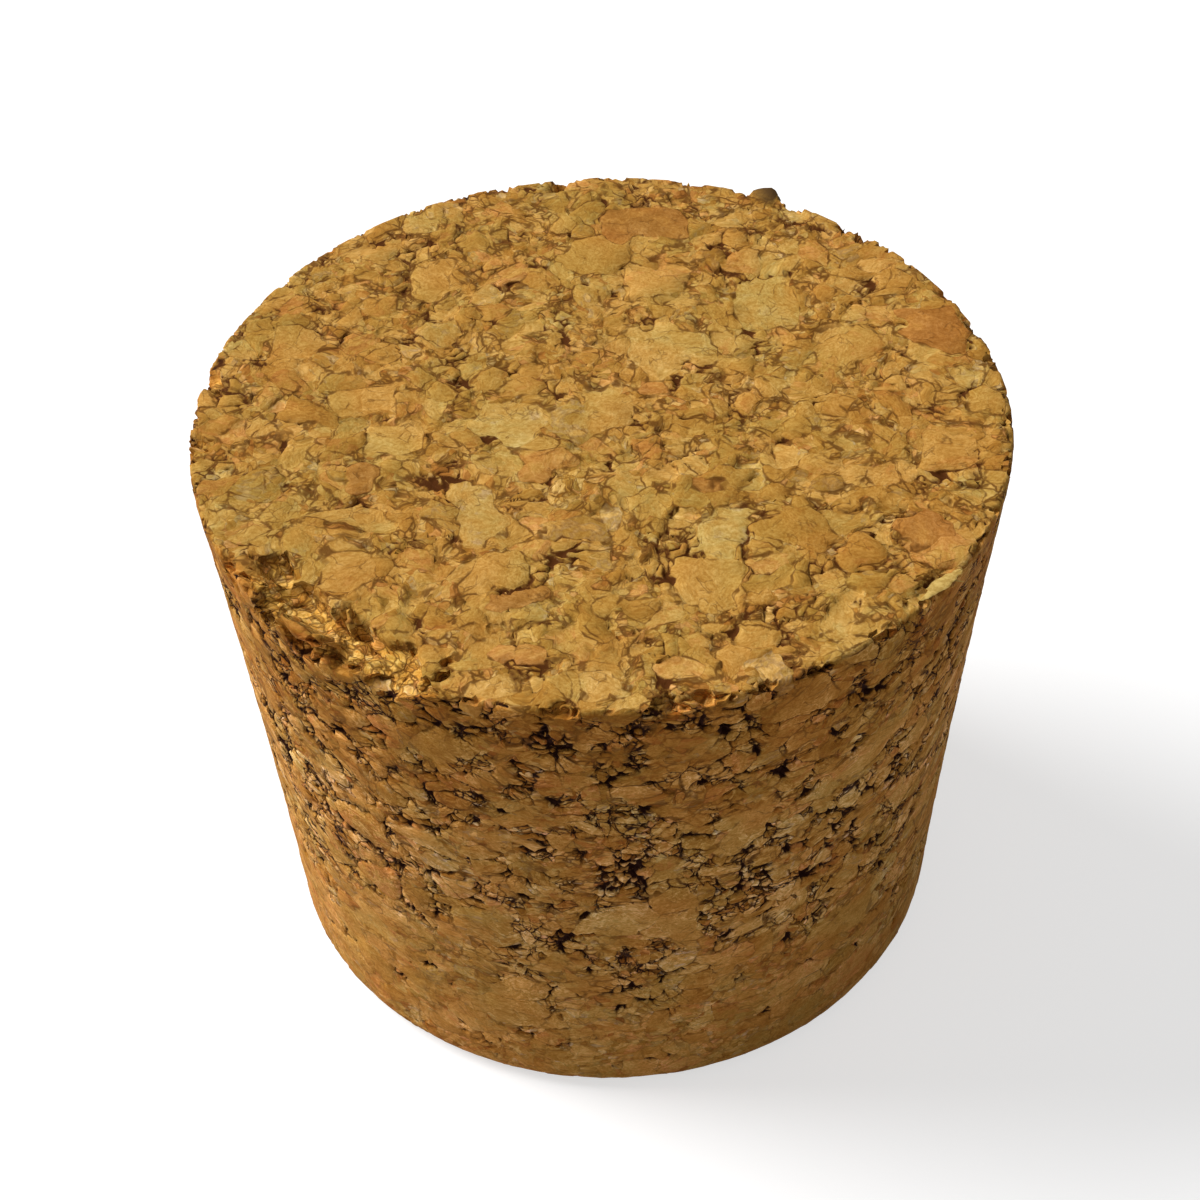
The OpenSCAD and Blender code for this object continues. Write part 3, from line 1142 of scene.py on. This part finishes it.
    def build(self) -> bpy.types.Object:
        """Builds the body, thins its mesh and marks its sharp edges.

        Returns:
            The body's object, riding on the frame.
        """
        surface = self.surface()
        shaped = self.damaged(surface)
        full = self.mesh(surface, shaped)
        body = bpy.data.objects.new("stopper_body", full)
        bpy.context.scene.collection.objects.link(body)
        thin = body.modifiers.new("thin", "DECIMATE")
        thin.ratio = self.triangles / (2 * len(surface.faces))
        thinned = bpy.data.meshes.new_from_object(body.evaluated_get(bpy.context.evaluated_depsgraph_get()))
        body.modifiers.remove(thin)
        body.data = thinned
        bpy.data.meshes.remove(full)
        thinned.name = "stopper_body"
        self.without_folds(thinned)
        self.keep_between_ends(thinned)
        thinned.polygons.foreach_set("use_smooth", np.ones(len(thinned.polygons), bool))
        thinned.set_sharp_from_angle(angle=math.radians(self.sharp_angle))
        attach(body, "root")
        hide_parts("stopper")
        thinned.calc_loop_triangles()
        log.info("%s: %d triangles", body.name, len(thinned.loop_triangles))
        return body


@dataclass(frozen=True)
class Sliver:
    """A pointed sliver of cork: where its middle is, how it lies, and its half lengths.

    The way it points is given round the axis from the rim's own direction, and up from level.
    """

    along: float
    out: float
    up: float
    swing: float
    climb: float
    half: tuple[float, float, float]


@dataclass(frozen=True)
class RimFlake:
    """A thin pale flake that clings to the edge of the wide end, with loose fibres at one end.

    Lengths are in millimetres and angles in degrees.
    """

    angle: float = -39.2
    radius: float = 17.16
    height: float = 26.80
    tilt: float = 12.0
    rows: int = 14
    around: int = 10
    ragged: float = 0.3
    slivers: tuple[Sliver, ...] = (
        Sliver(0.0, 0.0, 0.0, -10.0, 0.0, (1.25, 0.34, 0.06)),
        Sliver(-0.5, -0.06, 0.0, -2.0, -3.0, (0.75, 0.20, 0.05)),
        Sliver(0.80, 0.14, 0.02, -14.0, 2.0, (0.46, 0.035, 0.025)),
        Sliver(0.55, 0.30, -0.08, -50.0, -20.0, (0.40, 0.03, 0.022)),
        Sliver(0.98, 0.05, -0.02, -4.0, -3.0, (0.36, 0.03, 0.02)),
    )

    def sliver(self, shape: Sliver) -> tuple[Array, Array]:
        """A closed spindle: rings whose size follows a sine, and a point at each end.

        Args:
            shape: the sliver's place and size.

        Returns:
            Its places round the flake's middle, and its faces as triangles.
        """
        rise = np.linspace(0.0, math.pi, self.rows + 2)[1:-1]
        turn = 2 * math.pi * np.arange(self.around) / self.around
        wide = np.sin(rise) * (1.0 + self.ragged * np.sin(rise * 9.0 + shape.half[0] * 20.0) * np.cos(rise * 4.0))
        rings = np.stack([
            np.repeat(-np.cos(rise), self.around) * shape.half[0],
            np.outer(wide, np.cos(turn)).ravel() * shape.half[1],
            np.outer(np.sin(rise), np.sin(turn)).ravel() * shape.half[2],
        ], 1)
        place = np.concatenate([rings, [(-shape.half[0], 0, 0), (shape.half[0], 0, 0)]])
        index = np.arange(self.rows * self.around).reshape(self.rows, self.around)
        beside = np.roll(index, -1, axis=1)
        first, last = index.size, index.size + 1
        faces = np.concatenate([
            np.stack([index[:-1], index[1:], beside[1:]], -1).reshape(-1, 3),
            np.stack([index[:-1], beside[1:], beside[:-1]], -1).reshape(-1, 3),
            np.stack([np.full(self.around, first), index[0], beside[0]], -1),
            np.stack([index[-1], np.full(self.around, last), beside[-1]], -1),
        ])[:, ::-1]
        swing, climb = math.radians(shape.swing), math.radians(shape.climb)
        lie = Matrix.Rotation(swing, 3, "Z") @ Matrix.Rotation(-climb, 3, "Y")
        return place @ np.array(lie).T + (shape.along, -shape.out, shape.up), faces

    def build(self) -> bpy.types.Object:
        """Builds the flake as one piece that rides on the frame.

        Returns:
            The flake's object.
        """
        places, faces, start = [], [], 0
        for shape in self.slivers:
            place, face = self.sliver(shape)
            places.append(place)
            faces.append(face + start)
            start += len(place)
        turn = math.radians(self.angle)
        lie = Matrix.Rotation(turn + math.pi / 2, 3, "Z") @ Matrix.Rotation(-math.radians(self.tilt), 3, "X")
        middle = (self.radius * math.cos(turn), self.radius * math.sin(turn), self.height)
        place = np.concatenate(places) @ np.array(lie).T + middle
        mesh = bpy.data.meshes.new("rim_flake")
        mesh.from_pydata((place * MM).tolist(), [], np.concatenate(faces).tolist())
        flake = bpy.data.objects.new("rim_flake", mesh)
        bpy.context.scene.collection.objects.link(flake)
        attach(flake, "root")
        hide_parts("stopper")
        log.info("%s: %d triangles", flake.name, len(mesh.polygons))
        return flake


# ---- The finish ----


Socket = bpy.types.NodeSocket


class Graph:
    """A node tree being built, with a short method for each kind of step."""

    def __init__(self, tree: bpy.types.NodeTree) -> None:
        """Starts with the tree to build in."""
        self.tree = tree

    def node(self, kind: str, inputs: dict | None = None, **settings: object) -> bpy.types.Node:
        """Adds a node, sets it, and links or fills its inputs.

        Args:
            kind: Blender's name of the node's type.
            inputs: values or sockets by the input's name or number.
            settings: the node's own properties.

        Returns:
            The node.
        """
        made = self.tree.nodes.new(kind)
        for name, value in settings.items():
            setattr(made, name, value)
        for key, value in (inputs or {}).items():
            if isinstance(value, Socket):
                self.tree.links.new(value, made.inputs[key])
            else:
                made.inputs[key].default_value = value
        return made

    def maths(self, operation: str, *values: Socket | float, clamp: bool = False) -> Socket:
        """One step of arithmetic on numbers."""
        inputs = dict(enumerate(values))
        return self.node("ShaderNodeMath", inputs, operation=operation, use_clamp=clamp).outputs[0]

    def vector(self, operation: str, *values: Socket | tuple) -> Socket:
        """One step of arithmetic on vectors."""
        return self.node("ShaderNodeVectorMath", dict(enumerate(values)), operation=operation).outputs[0]

    def ranged(self, value: Socket, low: Socket | float, high: Socket | float,
               start: float = 0.0, end: float = 1.0) -> Socket:
        """Carries a value softly from one range to another, held at its ends."""
        inputs = {"Value": value, "From Min": low, "From Max": high, "To Min": start, "To Max": end}
        return self.node("ShaderNodeMapRange", inputs, interpolation_type="SMOOTHSTEP").outputs[0]

    def number_mix(self, share: Socket | float, a: Socket | float, b: Socket | float) -> Socket:
        """A number part of the way from a to b."""
        return self.node("ShaderNodeMix", {0: share, 2: a, 3: b}, data_type="FLOAT").outputs[0]

    def colour_mix(self, share: Socket | float, a: Socket | tuple, b: Socket | tuple,
                   blend: str = "MIX") -> Socket:
        """A colour part of the way from a to b, or a blended with b."""
        inputs = {0: share, 6: a, 7: b}
        return self.node("ShaderNodeMix", inputs, data_type="RGBA", blend_type=blend).outputs[2]

    def noise(self, place: Socket, scale: float, detail: float = 2.0, rough: float = 0.5) -> bpy.types.Node:
        """Soft noise at a number of waves for each unit."""
        inputs = {"Vector": place, "Scale": scale, "Detail": detail, "Roughness": rough}
        return self.node("ShaderNodeTexNoise", inputs)

    def ramp(self, value: Socket, stops: tuple[tuple[float, tuple[float, float, float]], ...]) -> Socket:
        """Colours along a line.

        Args:
            value: where on the line, from 0 to 1.
            stops: each colour's place on the line, and the colour.

        Returns:
            The colour's socket.
        """
        made = self.node("ShaderNodeValToRGB", {0: value})
        line = made.color_ramp
        while len(line.elements) < len(stops):
            line.elements.new(0.5)
        for element, (at, colour) in zip(line.elements, stops):
            element.position = at
            element.color = (*colour, 1.0)
        return made.outputs[0]

    def attribute(self, name: str, output: str) -> Socket:
        """Reads one of the mesh's attributes."""
        return self.node("ShaderNodeAttribute", attribute_name=name).outputs[output]


def granule_cells_group() -> bpy.types.NodeTree:
    """Builds the node group that reads one lattice of granules.

    Returns:
        A group with the granule's three numbers, and the distance to its nearest edge.
    """
    tree = bpy.data.node_groups.new("Granule cells", "ShaderNodeTree")
    tree.interface.new_socket("Place", in_out="INPUT", socket_type="NodeSocketVector")
    tree.interface.new_socket("Size", in_out="INPUT", socket_type="NodeSocketFloat")
    tree.interface.new_socket("Numbers", in_out="OUTPUT", socket_type="NodeSocketColor")
    tree.interface.new_socket("Edge", in_out="OUTPUT", socket_type="NodeSocketFloat")
    graph = Graph(tree)
    start = graph.node("NodeGroupInput")
    scale = graph.maths("DIVIDE", 1.0, start.outputs["Size"])
    common = {"Vector": start.outputs["Place"], "Scale": scale, "Randomness": 1.0}
    cell = graph.node("ShaderNodeTexVoronoi", common, feature="F1")
    edge = graph.node("ShaderNodeTexVoronoi", common, feature="DISTANCE_TO_EDGE")
    distance = graph.maths("MULTIPLY", edge.outputs["Distance"], start.outputs["Size"])
    graph.node("NodeGroupOutput", {"Numbers": cell.outputs["Color"], "Edge": distance})
    return tree


@dataclass(frozen=True)
class CorkFinish:
    """Raw pressed cork: granules of several tones and dark joints, with painted shade in the open voids and on the side
    under the rim, and a painted highlight round the pits.

    Colours are linear. Widths and scales are in millimetres and waves for each millimetre.
    """

    mix: GranuleMix = field(default_factory=GranuleMix)
    # Tints of granule along a line, as factors: russet, plain, olive, grey and straw
    tints: tuple[tuple[float, tuple[float, float, float]], ...] = (
        (0.0, (0.94, 0.85, 0.90)),
        (0.08, (1.02, 0.93, 0.96)),
        (0.25, (1.0, 0.99, 0.96)),
        (0.7, (1.0, 1.02, 1.0)),
        (0.88, (0.95, 1.02, 1.05)),
        (0.94, (0.86, 0.93, 1.25)),
        (1.0, (1.08, 1.14, 1.25)),
    )
    # Cork is the redder the darker it is: green and blue follow powers of red
    green_of_red: tuple[float, float] = (0.72, 1.41)
    blue_of_red: tuple[float, float] = (0.37, 2.6)
    end_light: float = 0.446
    side_light: float = 0.51
    # Painted shade: how dark the side's colour gets just under the rim, as a share
    rim_band_painted_shade: float = 0.76
    joint: tuple[float, float, float] = (0.100, 0.032, 0.002)
    # Colours of open voids and pits, as painted shade: dark brown on the ends and near black on the side
    end_void_painted_shade: tuple[float, float, float] = (0.070, 0.019, 0.001)
    side_void_painted_shade: tuple[float, float, float] = (0.016, 0.0025, 0.0003)
    raw: tuple[float, float, float] = (1.42, 1.38, 1.25)
    bark: tuple[float, float, float] = (0.085, 0.042, 0.010)
    side_tint: tuple[float, float, float] = (1.0, 0.83, 0.72)
    reddish: tuple[float, float, float] = (1.03, 0.97, 0.95)
    greenish: tuple[float, float, float] = (0.97, 1.015, 1.01)
    # How far the granules inside a whole one show through, in tone and in edge
    seen_inside: float = 0.32
    inner_edge_fade: float = 0.044
    dust_edge_fade: float = 0.010
    joint_width: float = 0.07
    ragged_by: float = 0.05
    roughness: float = 0.84
    specular: float = 0.1

    def granules(self, graph: Graph, place: Socket, raw: Socket) -> tuple[Socket, Socket, Socket]:
        """Reads the granule at a place, from the nested lattices.

        Args:
            graph: the material's tree.
            place: the bent place.
            raw: how freshly broken it is there. Only crumbs are left in a break.

        Returns:
            The granule's three numbers as a colour, and the distances to its two nearest edges.
        """
        mix = self.mix
        cells = granule_cells_group()
        numbers = edge = second = None
        inner = ((mix.dust, 0.0), (mix.crumb, mix.dust_share), (mix.medium, mix.crumb_share),
                 (mix.large, 1.0 - mix.large_share))
        for size, filled_share in inner:
            made = graph.node("ShaderNodeGroup", node_tree=cells)
            graph.tree.links.new(place, made.inputs["Place"])
            made.inputs["Size"].default_value = size
            own, own_edge = made.outputs["Numbers"], made.outputs["Edge"]
            if numbers is None:
                numbers, edge = own, graph.maths("ADD", own_edge, self.dust_edge_fade)
                second = graph.maths("ADD", own_edge, 1.0)
                continue
            first = graph.node("ShaderNodeSeparateColor", {0: own}).outputs[0]
            if size == mix.large:
                filled = graph.maths("GREATER_THAN", first, mix.large_share)
            else:
                filled = graph.maths("LESS_THAN", first, filled_share)
            if size != mix.crumb:
                filled = graph.maths("MAXIMUM", filled, graph.maths("GREATER_THAN", raw, 0.4))
            shown = graph.maths("MAXIMUM", filled, self.seen_inside)
            numbers = graph.colour_mix(shown, own, numbers)
            kept_back = graph.maths("SUBTRACT", 1.0, filled)
            inside = graph.maths("MULTIPLY_ADD", kept_back, self.inner_edge_fade, edge)
            inside_second = graph.maths("MULTIPLY_ADD", kept_back, 1.0, second)
            second = graph.maths("MINIMUM", graph.maths("MAXIMUM", own_edge, inside), inside_second)
            edge = graph.maths("MINIMUM", own_edge, inside)
        return numbers, edge, second

    def build(self) -> bpy.types.Material:
        """Builds the material.

        Returns:
            A material that reads the attributes grain, gap, raw and ground.
        """
        material = bpy.data.materials.new("pressed_cork")
        material.use_nodes = True
        material.node_tree.nodes.clear()
        graph = Graph(material.node_tree)
        grain = graph.attribute("grain", "Vector")
        gap = graph.attribute("gap", "Fac")
        raw = graph.attribute("raw", "Fac")
        ground = graph.maths("MULTIPLY", graph.attribute("ground", "Fac"), graph.maths("SUBTRACT", 1.0, raw))
        loose = graph.attribute("loose", "Fac")

        wander = graph.vector("SUBTRACT", graph.noise(grain, 6.0, 1.0).outputs["Color"], (0.5, 0.5, 0.5))
        place = graph.vector("MULTIPLY_ADD", wander, (self.ragged_by * 2,) * 3, grain)
        loose = graph.maths("MAXIMUM", loose, raw)
        numbers, edge, second = self.granules(graph, place, raw)
        parts = graph.node("ShaderNodeSeparateColor", {0: numbers})
        turn, light, tone = parts.outputs[0], parts.outputs[1], parts.outputs[2]

        # The granules that stand out take their own light and tone, and joints of their own
        spot = graph.attribute("spot", "Fac")
        marked, away = graph.maths("GREATER_THAN", spot, 0.0), graph.maths("ABSOLUTE", spot)
        own = {name: graph.attribute(f"spot_{name}", "Fac") for name in ("light", "tone")}
        light = graph.number_mix(marked, light, graph.maths("MULTIPLY_ADD", light, 0.5, graph.maths("MULTIPLY_ADD", own["light"], 0.5, -0.05)))
        tone = graph.number_mix(marked, tone, own["tone"])
        loose = graph.maths("MULTIPLY", loose, graph.maths("SUBTRACT", 1.0, marked))
        edge = graph.maths("MULTIPLY_ADD", marked, 0.04, edge)
        second = graph.maths("MINIMUM", graph.maths("MAXIMUM", edge, away), graph.maths("ADD", second, marked))
        edge = graph.maths("MINIMUM", edge, away)

        turned = graph.node("ShaderNodeVectorRotate", {
            "Vector": place, "Axis": (0.3, 0.5, 0.8), "Angle": graph.maths("MULTIPLY", turn, 31.0),
        }, rotation_type="AXIS_ANGLE").outputs[0]
        streak = graph.noise(graph.vector("MULTIPLY", turned, (1.0, 4.0, 1.0)), 1.5, 2.0, 0.6).outputs[0]
        fine = graph.noise(grain, 7.0, 3.0, 0.7).outputs[0]
        mottle = graph.noise(grain, 1.3, 2.0, 0.6)
        patchy = graph.ranged(graph.node("ShaderNodeSeparateColor", {0: mottle.outputs["Color"]}).outputs[1], 0.4, 0.62)
        height = graph.maths("DIVIDE", graph.node("ShaderNodeSeparateXYZ", {0: grain}).outputs[2], self.mix.flatness)

        # How light each granule is, the spots and streaks in it, and painted shade on the side
        spread = graph.number_mix(ground, graph.number_mix(loose, 0.22, 0.4), graph.number_mix(loose, 0.22, 0.46))
        spread = graph.number_mix(raw, spread, 0.2)
        value = graph.maths("MULTIPLY_ADD", graph.maths("SUBTRACT", light, 0.5), graph.maths("MULTIPLY", spread, 2.0), 1.0)
        for noise, low, high in ((streak, 0.95, 1.05), (fine, 0.80, 1.20), (mottle.outputs[0], 0.92, 1.08)):
            value = graph.maths("MULTIPLY", value, graph.ranged(noise, 0.25, 0.75, low, high))
        # Painted shade: the side's colour darkens towards the rim, and is a little lighter lower down
        painted_side_shade = graph.ranged(height, 2.0, 12.5, 1.03, self.rim_band_painted_shade)
        level = graph.number_mix(ground, self.end_light, graph.maths("MULTIPLY", painted_side_shade, self.side_light))
        value = graph.maths("MULTIPLY", value, level)

        # Dark joints, and pits where they open, coloured dark as painted shade, with a painted highlight round them
        width = graph.maths("MULTIPLY_ADD", patchy, self.joint_width, self.joint_width * 0.3)
        joint = graph.maths("SUBTRACT", 1.0, graph.ranged(edge, graph.maths("MULTIPLY", width, 0.2), width))
        plain = graph.number_mix(ground, 0.88, graph.number_mix(loose, 0.55, 0.98))
        calm_foot = graph.ranged(height, -13.0, -3.0, 0.55, 1.0)
        plain = graph.maths("MULTIPLY", plain, graph.number_mix(ground, 1.0, calm_foot))
        strength = graph.maths("MULTIPLY", graph.maths("MULTIPLY", joint, plain), graph.number_mix(patchy, 0.25, 0.95))
        bare = graph.maths("MULTIPLY", graph.maths("SUBTRACT", 1.0, graph.ranged(edge, 0.012, 0.07)), 0.7)
        strength = graph.number_mix(raw, strength, bare)
        corner = graph.maths("SMOOTH_MIN", edge, second, graph.maths("MULTIPLY", loose, 0.26))
        small_gap = graph.maths("SUBTRACT", graph.maths("MULTIPLY_ADD", loose, graph.number_mix(ground, 0.022, 0.05), -0.025), corner)
        both = graph.maths("MAXIMUM", gap, small_gap)
        ragged_gap = graph.maths("MULTIPLY_ADD", fine, 0.08, graph.maths("SUBTRACT", both, 0.04))
        open_ = graph.ranged(ragged_gap, 0.005, 0.05)
        # Painted highlight: the colour is lightened in a ring round the edges of open pits
        painted_lip_highlight = graph.maths("MULTIPLY", graph.ranged(ragged_gap, -0.13, -0.04), graph.ranged(streak, 0.42, 0.6))
        painted_lip_highlight = graph.maths("MULTIPLY", painted_lip_highlight, graph.maths("MULTIPLY", loose, graph.number_mix(ground, 0.2, 0.42)))
        value = graph.maths("MULTIPLY", value, graph.maths("ADD", painted_lip_highlight, 1.0))

        tone = graph.maths("ADD", tone, graph.ranged(mottle.outputs[0], 0.25, 0.75, -0.12, 0.12), clamp=True)
        broad = graph.ranged(graph.noise(grain, 0.33, 1.0).outputs[0], 0.35, 0.65)
        hue = graph.colour_mix(broad, (*self.reddish, 1), (*self.greenish, 1))
        tint = graph.ramp(tone, self.tints)
        hue = graph.colour_mix(1.0, hue, tint, "MULTIPLY")
        hue = graph.colour_mix(graph.number_mix(ground, 0.5, 0.7), hue, graph.colour_mix(1.0, hue, tint, "MULTIPLY"))
        hue = graph.colour_mix(ground, hue, graph.colour_mix(1.0, hue, (*self.side_tint, 1), "MULTIPLY"))
        hue = graph.colour_mix(raw, hue, graph.colour_mix(1.0, hue, (*self.raw, 1), "MULTIPLY"))
        plain = graph.node("ShaderNodeCombineColor", {
            0: value,
            1: graph.maths("MULTIPLY", graph.maths("POWER", value, self.green_of_red[1]), self.green_of_red[0]),
            2: graph.maths("MULTIPLY", graph.maths("POWER", value, self.blue_of_red[1]), self.blue_of_red[0]),
        }).outputs[0]
        colour = graph.colour_mix(1.0, plain, hue, "MULTIPLY")
        colour = graph.colour_mix(strength, colour, (*self.joint, 1))
        # Painted shade: open voids and pits take a near-black colour, as if in shadow
        void = graph.colour_mix(ground, (*self.end_void_painted_shade, 1), (*self.side_void_painted_shade, 1))
        colour = graph.colour_mix(open_, colour, void)
        colour = graph.colour_mix(graph.attribute("bark", "Fac"), colour, (*self.bark, 1))

        bump = graph.node("ShaderNodeBump", {"Strength": 0.55, "Distance": 0.05 * MM, "Height": fine})
        roughness = graph.ranged(fine, 0.2, 0.8, self.roughness - 0.06, self.roughness + 0.08)
        shader = graph.node("ShaderNodeBsdfPrincipled", {
            "Base Color": colour, "Roughness": roughness, "Normal": bump.outputs[0],
            "Specular IOR Level": self.specular,
        })
        graph.node("ShaderNodeOutputMaterial", {"Surface": shader.outputs[0]})
        return material


@dataclass(frozen=True)
class StrawFinish:
    """The pale inner cork of a fresh flake, with darker streaks."""

    pale: tuple[float, float, float] = (0.55, 0.38, 0.115)
    dark: tuple[float, float, float] = (0.36, 0.22, 0.05)
    roughness: float = 0.85
    specular: float = 0.1
    streaks: float = 4.0

    def build(self) -> bpy.types.Material:
        """Builds the material.

        Returns:
            A material that reads the object's own coordinates.
        """
        material = bpy.data.materials.new("fresh_flake")
        material.use_nodes = True
        material.node_tree.nodes.clear()
        graph = Graph(material.node_tree)
        place = graph.node("ShaderNodeTexCoord").outputs["Object"]
        streak = graph.noise(place, self.streaks / MM, 3.0, 0.6).outputs[0]
        colour = graph.colour_mix(graph.ranged(streak, 0.35, 0.65), (*self.dark, 1), (*self.pale, 1))
        bump = graph.node("ShaderNodeBump", {"Strength": 0.5, "Distance": 0.03 * MM, "Height": streak})
        shader = graph.node("ShaderNodeBsdfPrincipled", {
            "Base Color": colour, "Roughness": self.roughness, "Normal": bump.outputs[0],
            "Specular IOR Level": self.specular,
        })
        graph.node("ShaderNodeOutputMaterial", {"Surface": shader.outputs[0]})
        return material


# ---- The studio ----


@dataclass(frozen=True)
class Studio:
    """A pale floor, one broad soft lamp from above and behind, and an even fill."""

    floor_half: float = 1.5
    floor_tone: float = 0.5
    floor_lift: float = 0.62
    fill: float = 0.26
    sun: float = 4.2
    sun_softness: float = 36.0
    sun_height: float = 41.0
    sun_turn: float = 160.0

    def build(self) -> None:
        """Builds the floor, the lamp and the world."""
        half = self.floor_half
        corners = [(-half, -half, 0), (half, -half, 0), (half, half, 0), (-half, half, 0)]
        mesh = bpy.data.meshes.new("floor")
        mesh.from_pydata(corners, [], [(0, 1, 2, 3)])
        floor = bpy.data.objects.new("floor", mesh)
        bpy.context.scene.collection.objects.link(floor)
        floor.data.materials.append(self.floor_material())

        lamp = bpy.data.lights.new("soft_lamp", "SUN")
        lamp.energy = self.sun
        lamp.angle = math.radians(self.sun_softness)
        holder = bpy.data.objects.new("soft_lamp", lamp)
        turn, height = math.radians(self.sun_turn), math.radians(self.sun_height)
        towards = Vector((math.cos(height) * math.cos(turn), math.cos(height) * math.sin(turn), math.sin(height)))
        holder.rotation_euler = towards.to_track_quat("Z", "Y").to_euler()
        bpy.context.scene.collection.objects.link(holder)

        world = bpy.data.worlds.new("studio")
        world.use_nodes = True
        world.node_tree.nodes.clear()
        graph = Graph(world.node_tree)
        seen = self.seen_directly(graph)
        strength = graph.number_mix(seen, self.fill, 1.0)
        light = graph.node("ShaderNodeBackground", {"Color": (1, 1, 1, 1), "Strength": strength})
        graph.node("ShaderNodeOutputWorld", {"Surface": light.outputs[0]})
        bpy.context.scene.world = world

    def seen_directly(self, graph: Graph) -> Socket:
        """1 for what the camera sees, directly, mirrored or through glass, and 0 for light."""
        path = graph.node("ShaderNodeLightPath")
        straight = graph.maths("MAXIMUM", path.outputs["Is Camera Ray"], path.outputs["Is Glossy Ray"])
        return graph.maths("MAXIMUM", straight, path.outputs["Is Transmission Ray"])

    def floor_material(self) -> bpy.types.Material:
        """A pale floor that the camera sees lifted to white, and that still takes a shadow."""
        material = bpy.data.materials.new("pale_floor")
        material.use_nodes = True
        material.node_tree.nodes.clear()
        graph = Graph(material.node_tree)
        tone = (self.floor_tone,) * 3
        matt = graph.node("ShaderNodeBsdfDiffuse", {"Color": (*tone, 1)})
        seen = self.seen_directly(graph)
        lift = graph.node("ShaderNodeEmission", {
            "Color": (1, 1, 1, 1), "Strength": graph.maths("MULTIPLY", seen, self.floor_lift),
        })
        both = graph.node("ShaderNodeAddShader", {0: matt.outputs[0], 1: lift.outputs[0]})
        graph.node("ShaderNodeOutputMaterial", {"Surface": both.outputs[0]})
        return material


@dataclass(frozen=True)
class PhotoCamera:
    """The camera at the photograph's viewing angle, with lengths in millimetres."""

    target: tuple[float, float, float] = (-0.2756, 0.0, 16.1737)
    distance: float = 130.422
    elevation: float = 43.775
    roll: float = -1.867
    sensor: float = 36.0
    lens: float = 86.75

    def build(self) -> bpy.types.Object:
        """Builds the camera and makes it the scene's own."""
        up_angle, roll = math.radians(self.elevation), math.radians(self.roll)
        ahead = Vector((0, math.cos(up_angle), -math.sin(up_angle)))
        level_right, level_up = Vector((1, 0, 0)), Vector((0, math.sin(up_angle), math.cos(up_angle)))
        right = level_right * math.cos(roll) + level_up * math.sin(roll)
        up = level_up * math.cos(roll) - level_right * math.sin(roll)
        data = bpy.data.cameras.new("photo_camera")
        data.sensor_width, data.lens = self.sensor, self.lens
        data.clip_start = 0.005
        camera = bpy.data.objects.new("photo_camera", data)
        place = (Vector(self.target) - ahead * self.distance) * MM
        camera.matrix_world = Matrix.Translation(place) @ Matrix((right, up, -ahead)).transposed().to_4x4()
        bpy.context.scene.collection.objects.link(camera)
        bpy.context.scene.camera = camera
        return camera


def main() -> None:
    """Builds the stopper's body and the studio round it."""
    logging.basicConfig(level=logging.INFO, format="%(name)s: %(message)s")
    bpy.context.scene.view_settings.view_transform = "Standard"
    PhotoCamera().build()
    log.info("camera in place")
    body = StopperBody().build()
    body.data.materials.clear()
    body.data.materials.append(CorkFinish().build())
    RimFlake().build().data.materials.append(StrawFinish().build())
    Studio().build()
    log.info("studio in place")


if __name__ == "__main__":
    main()
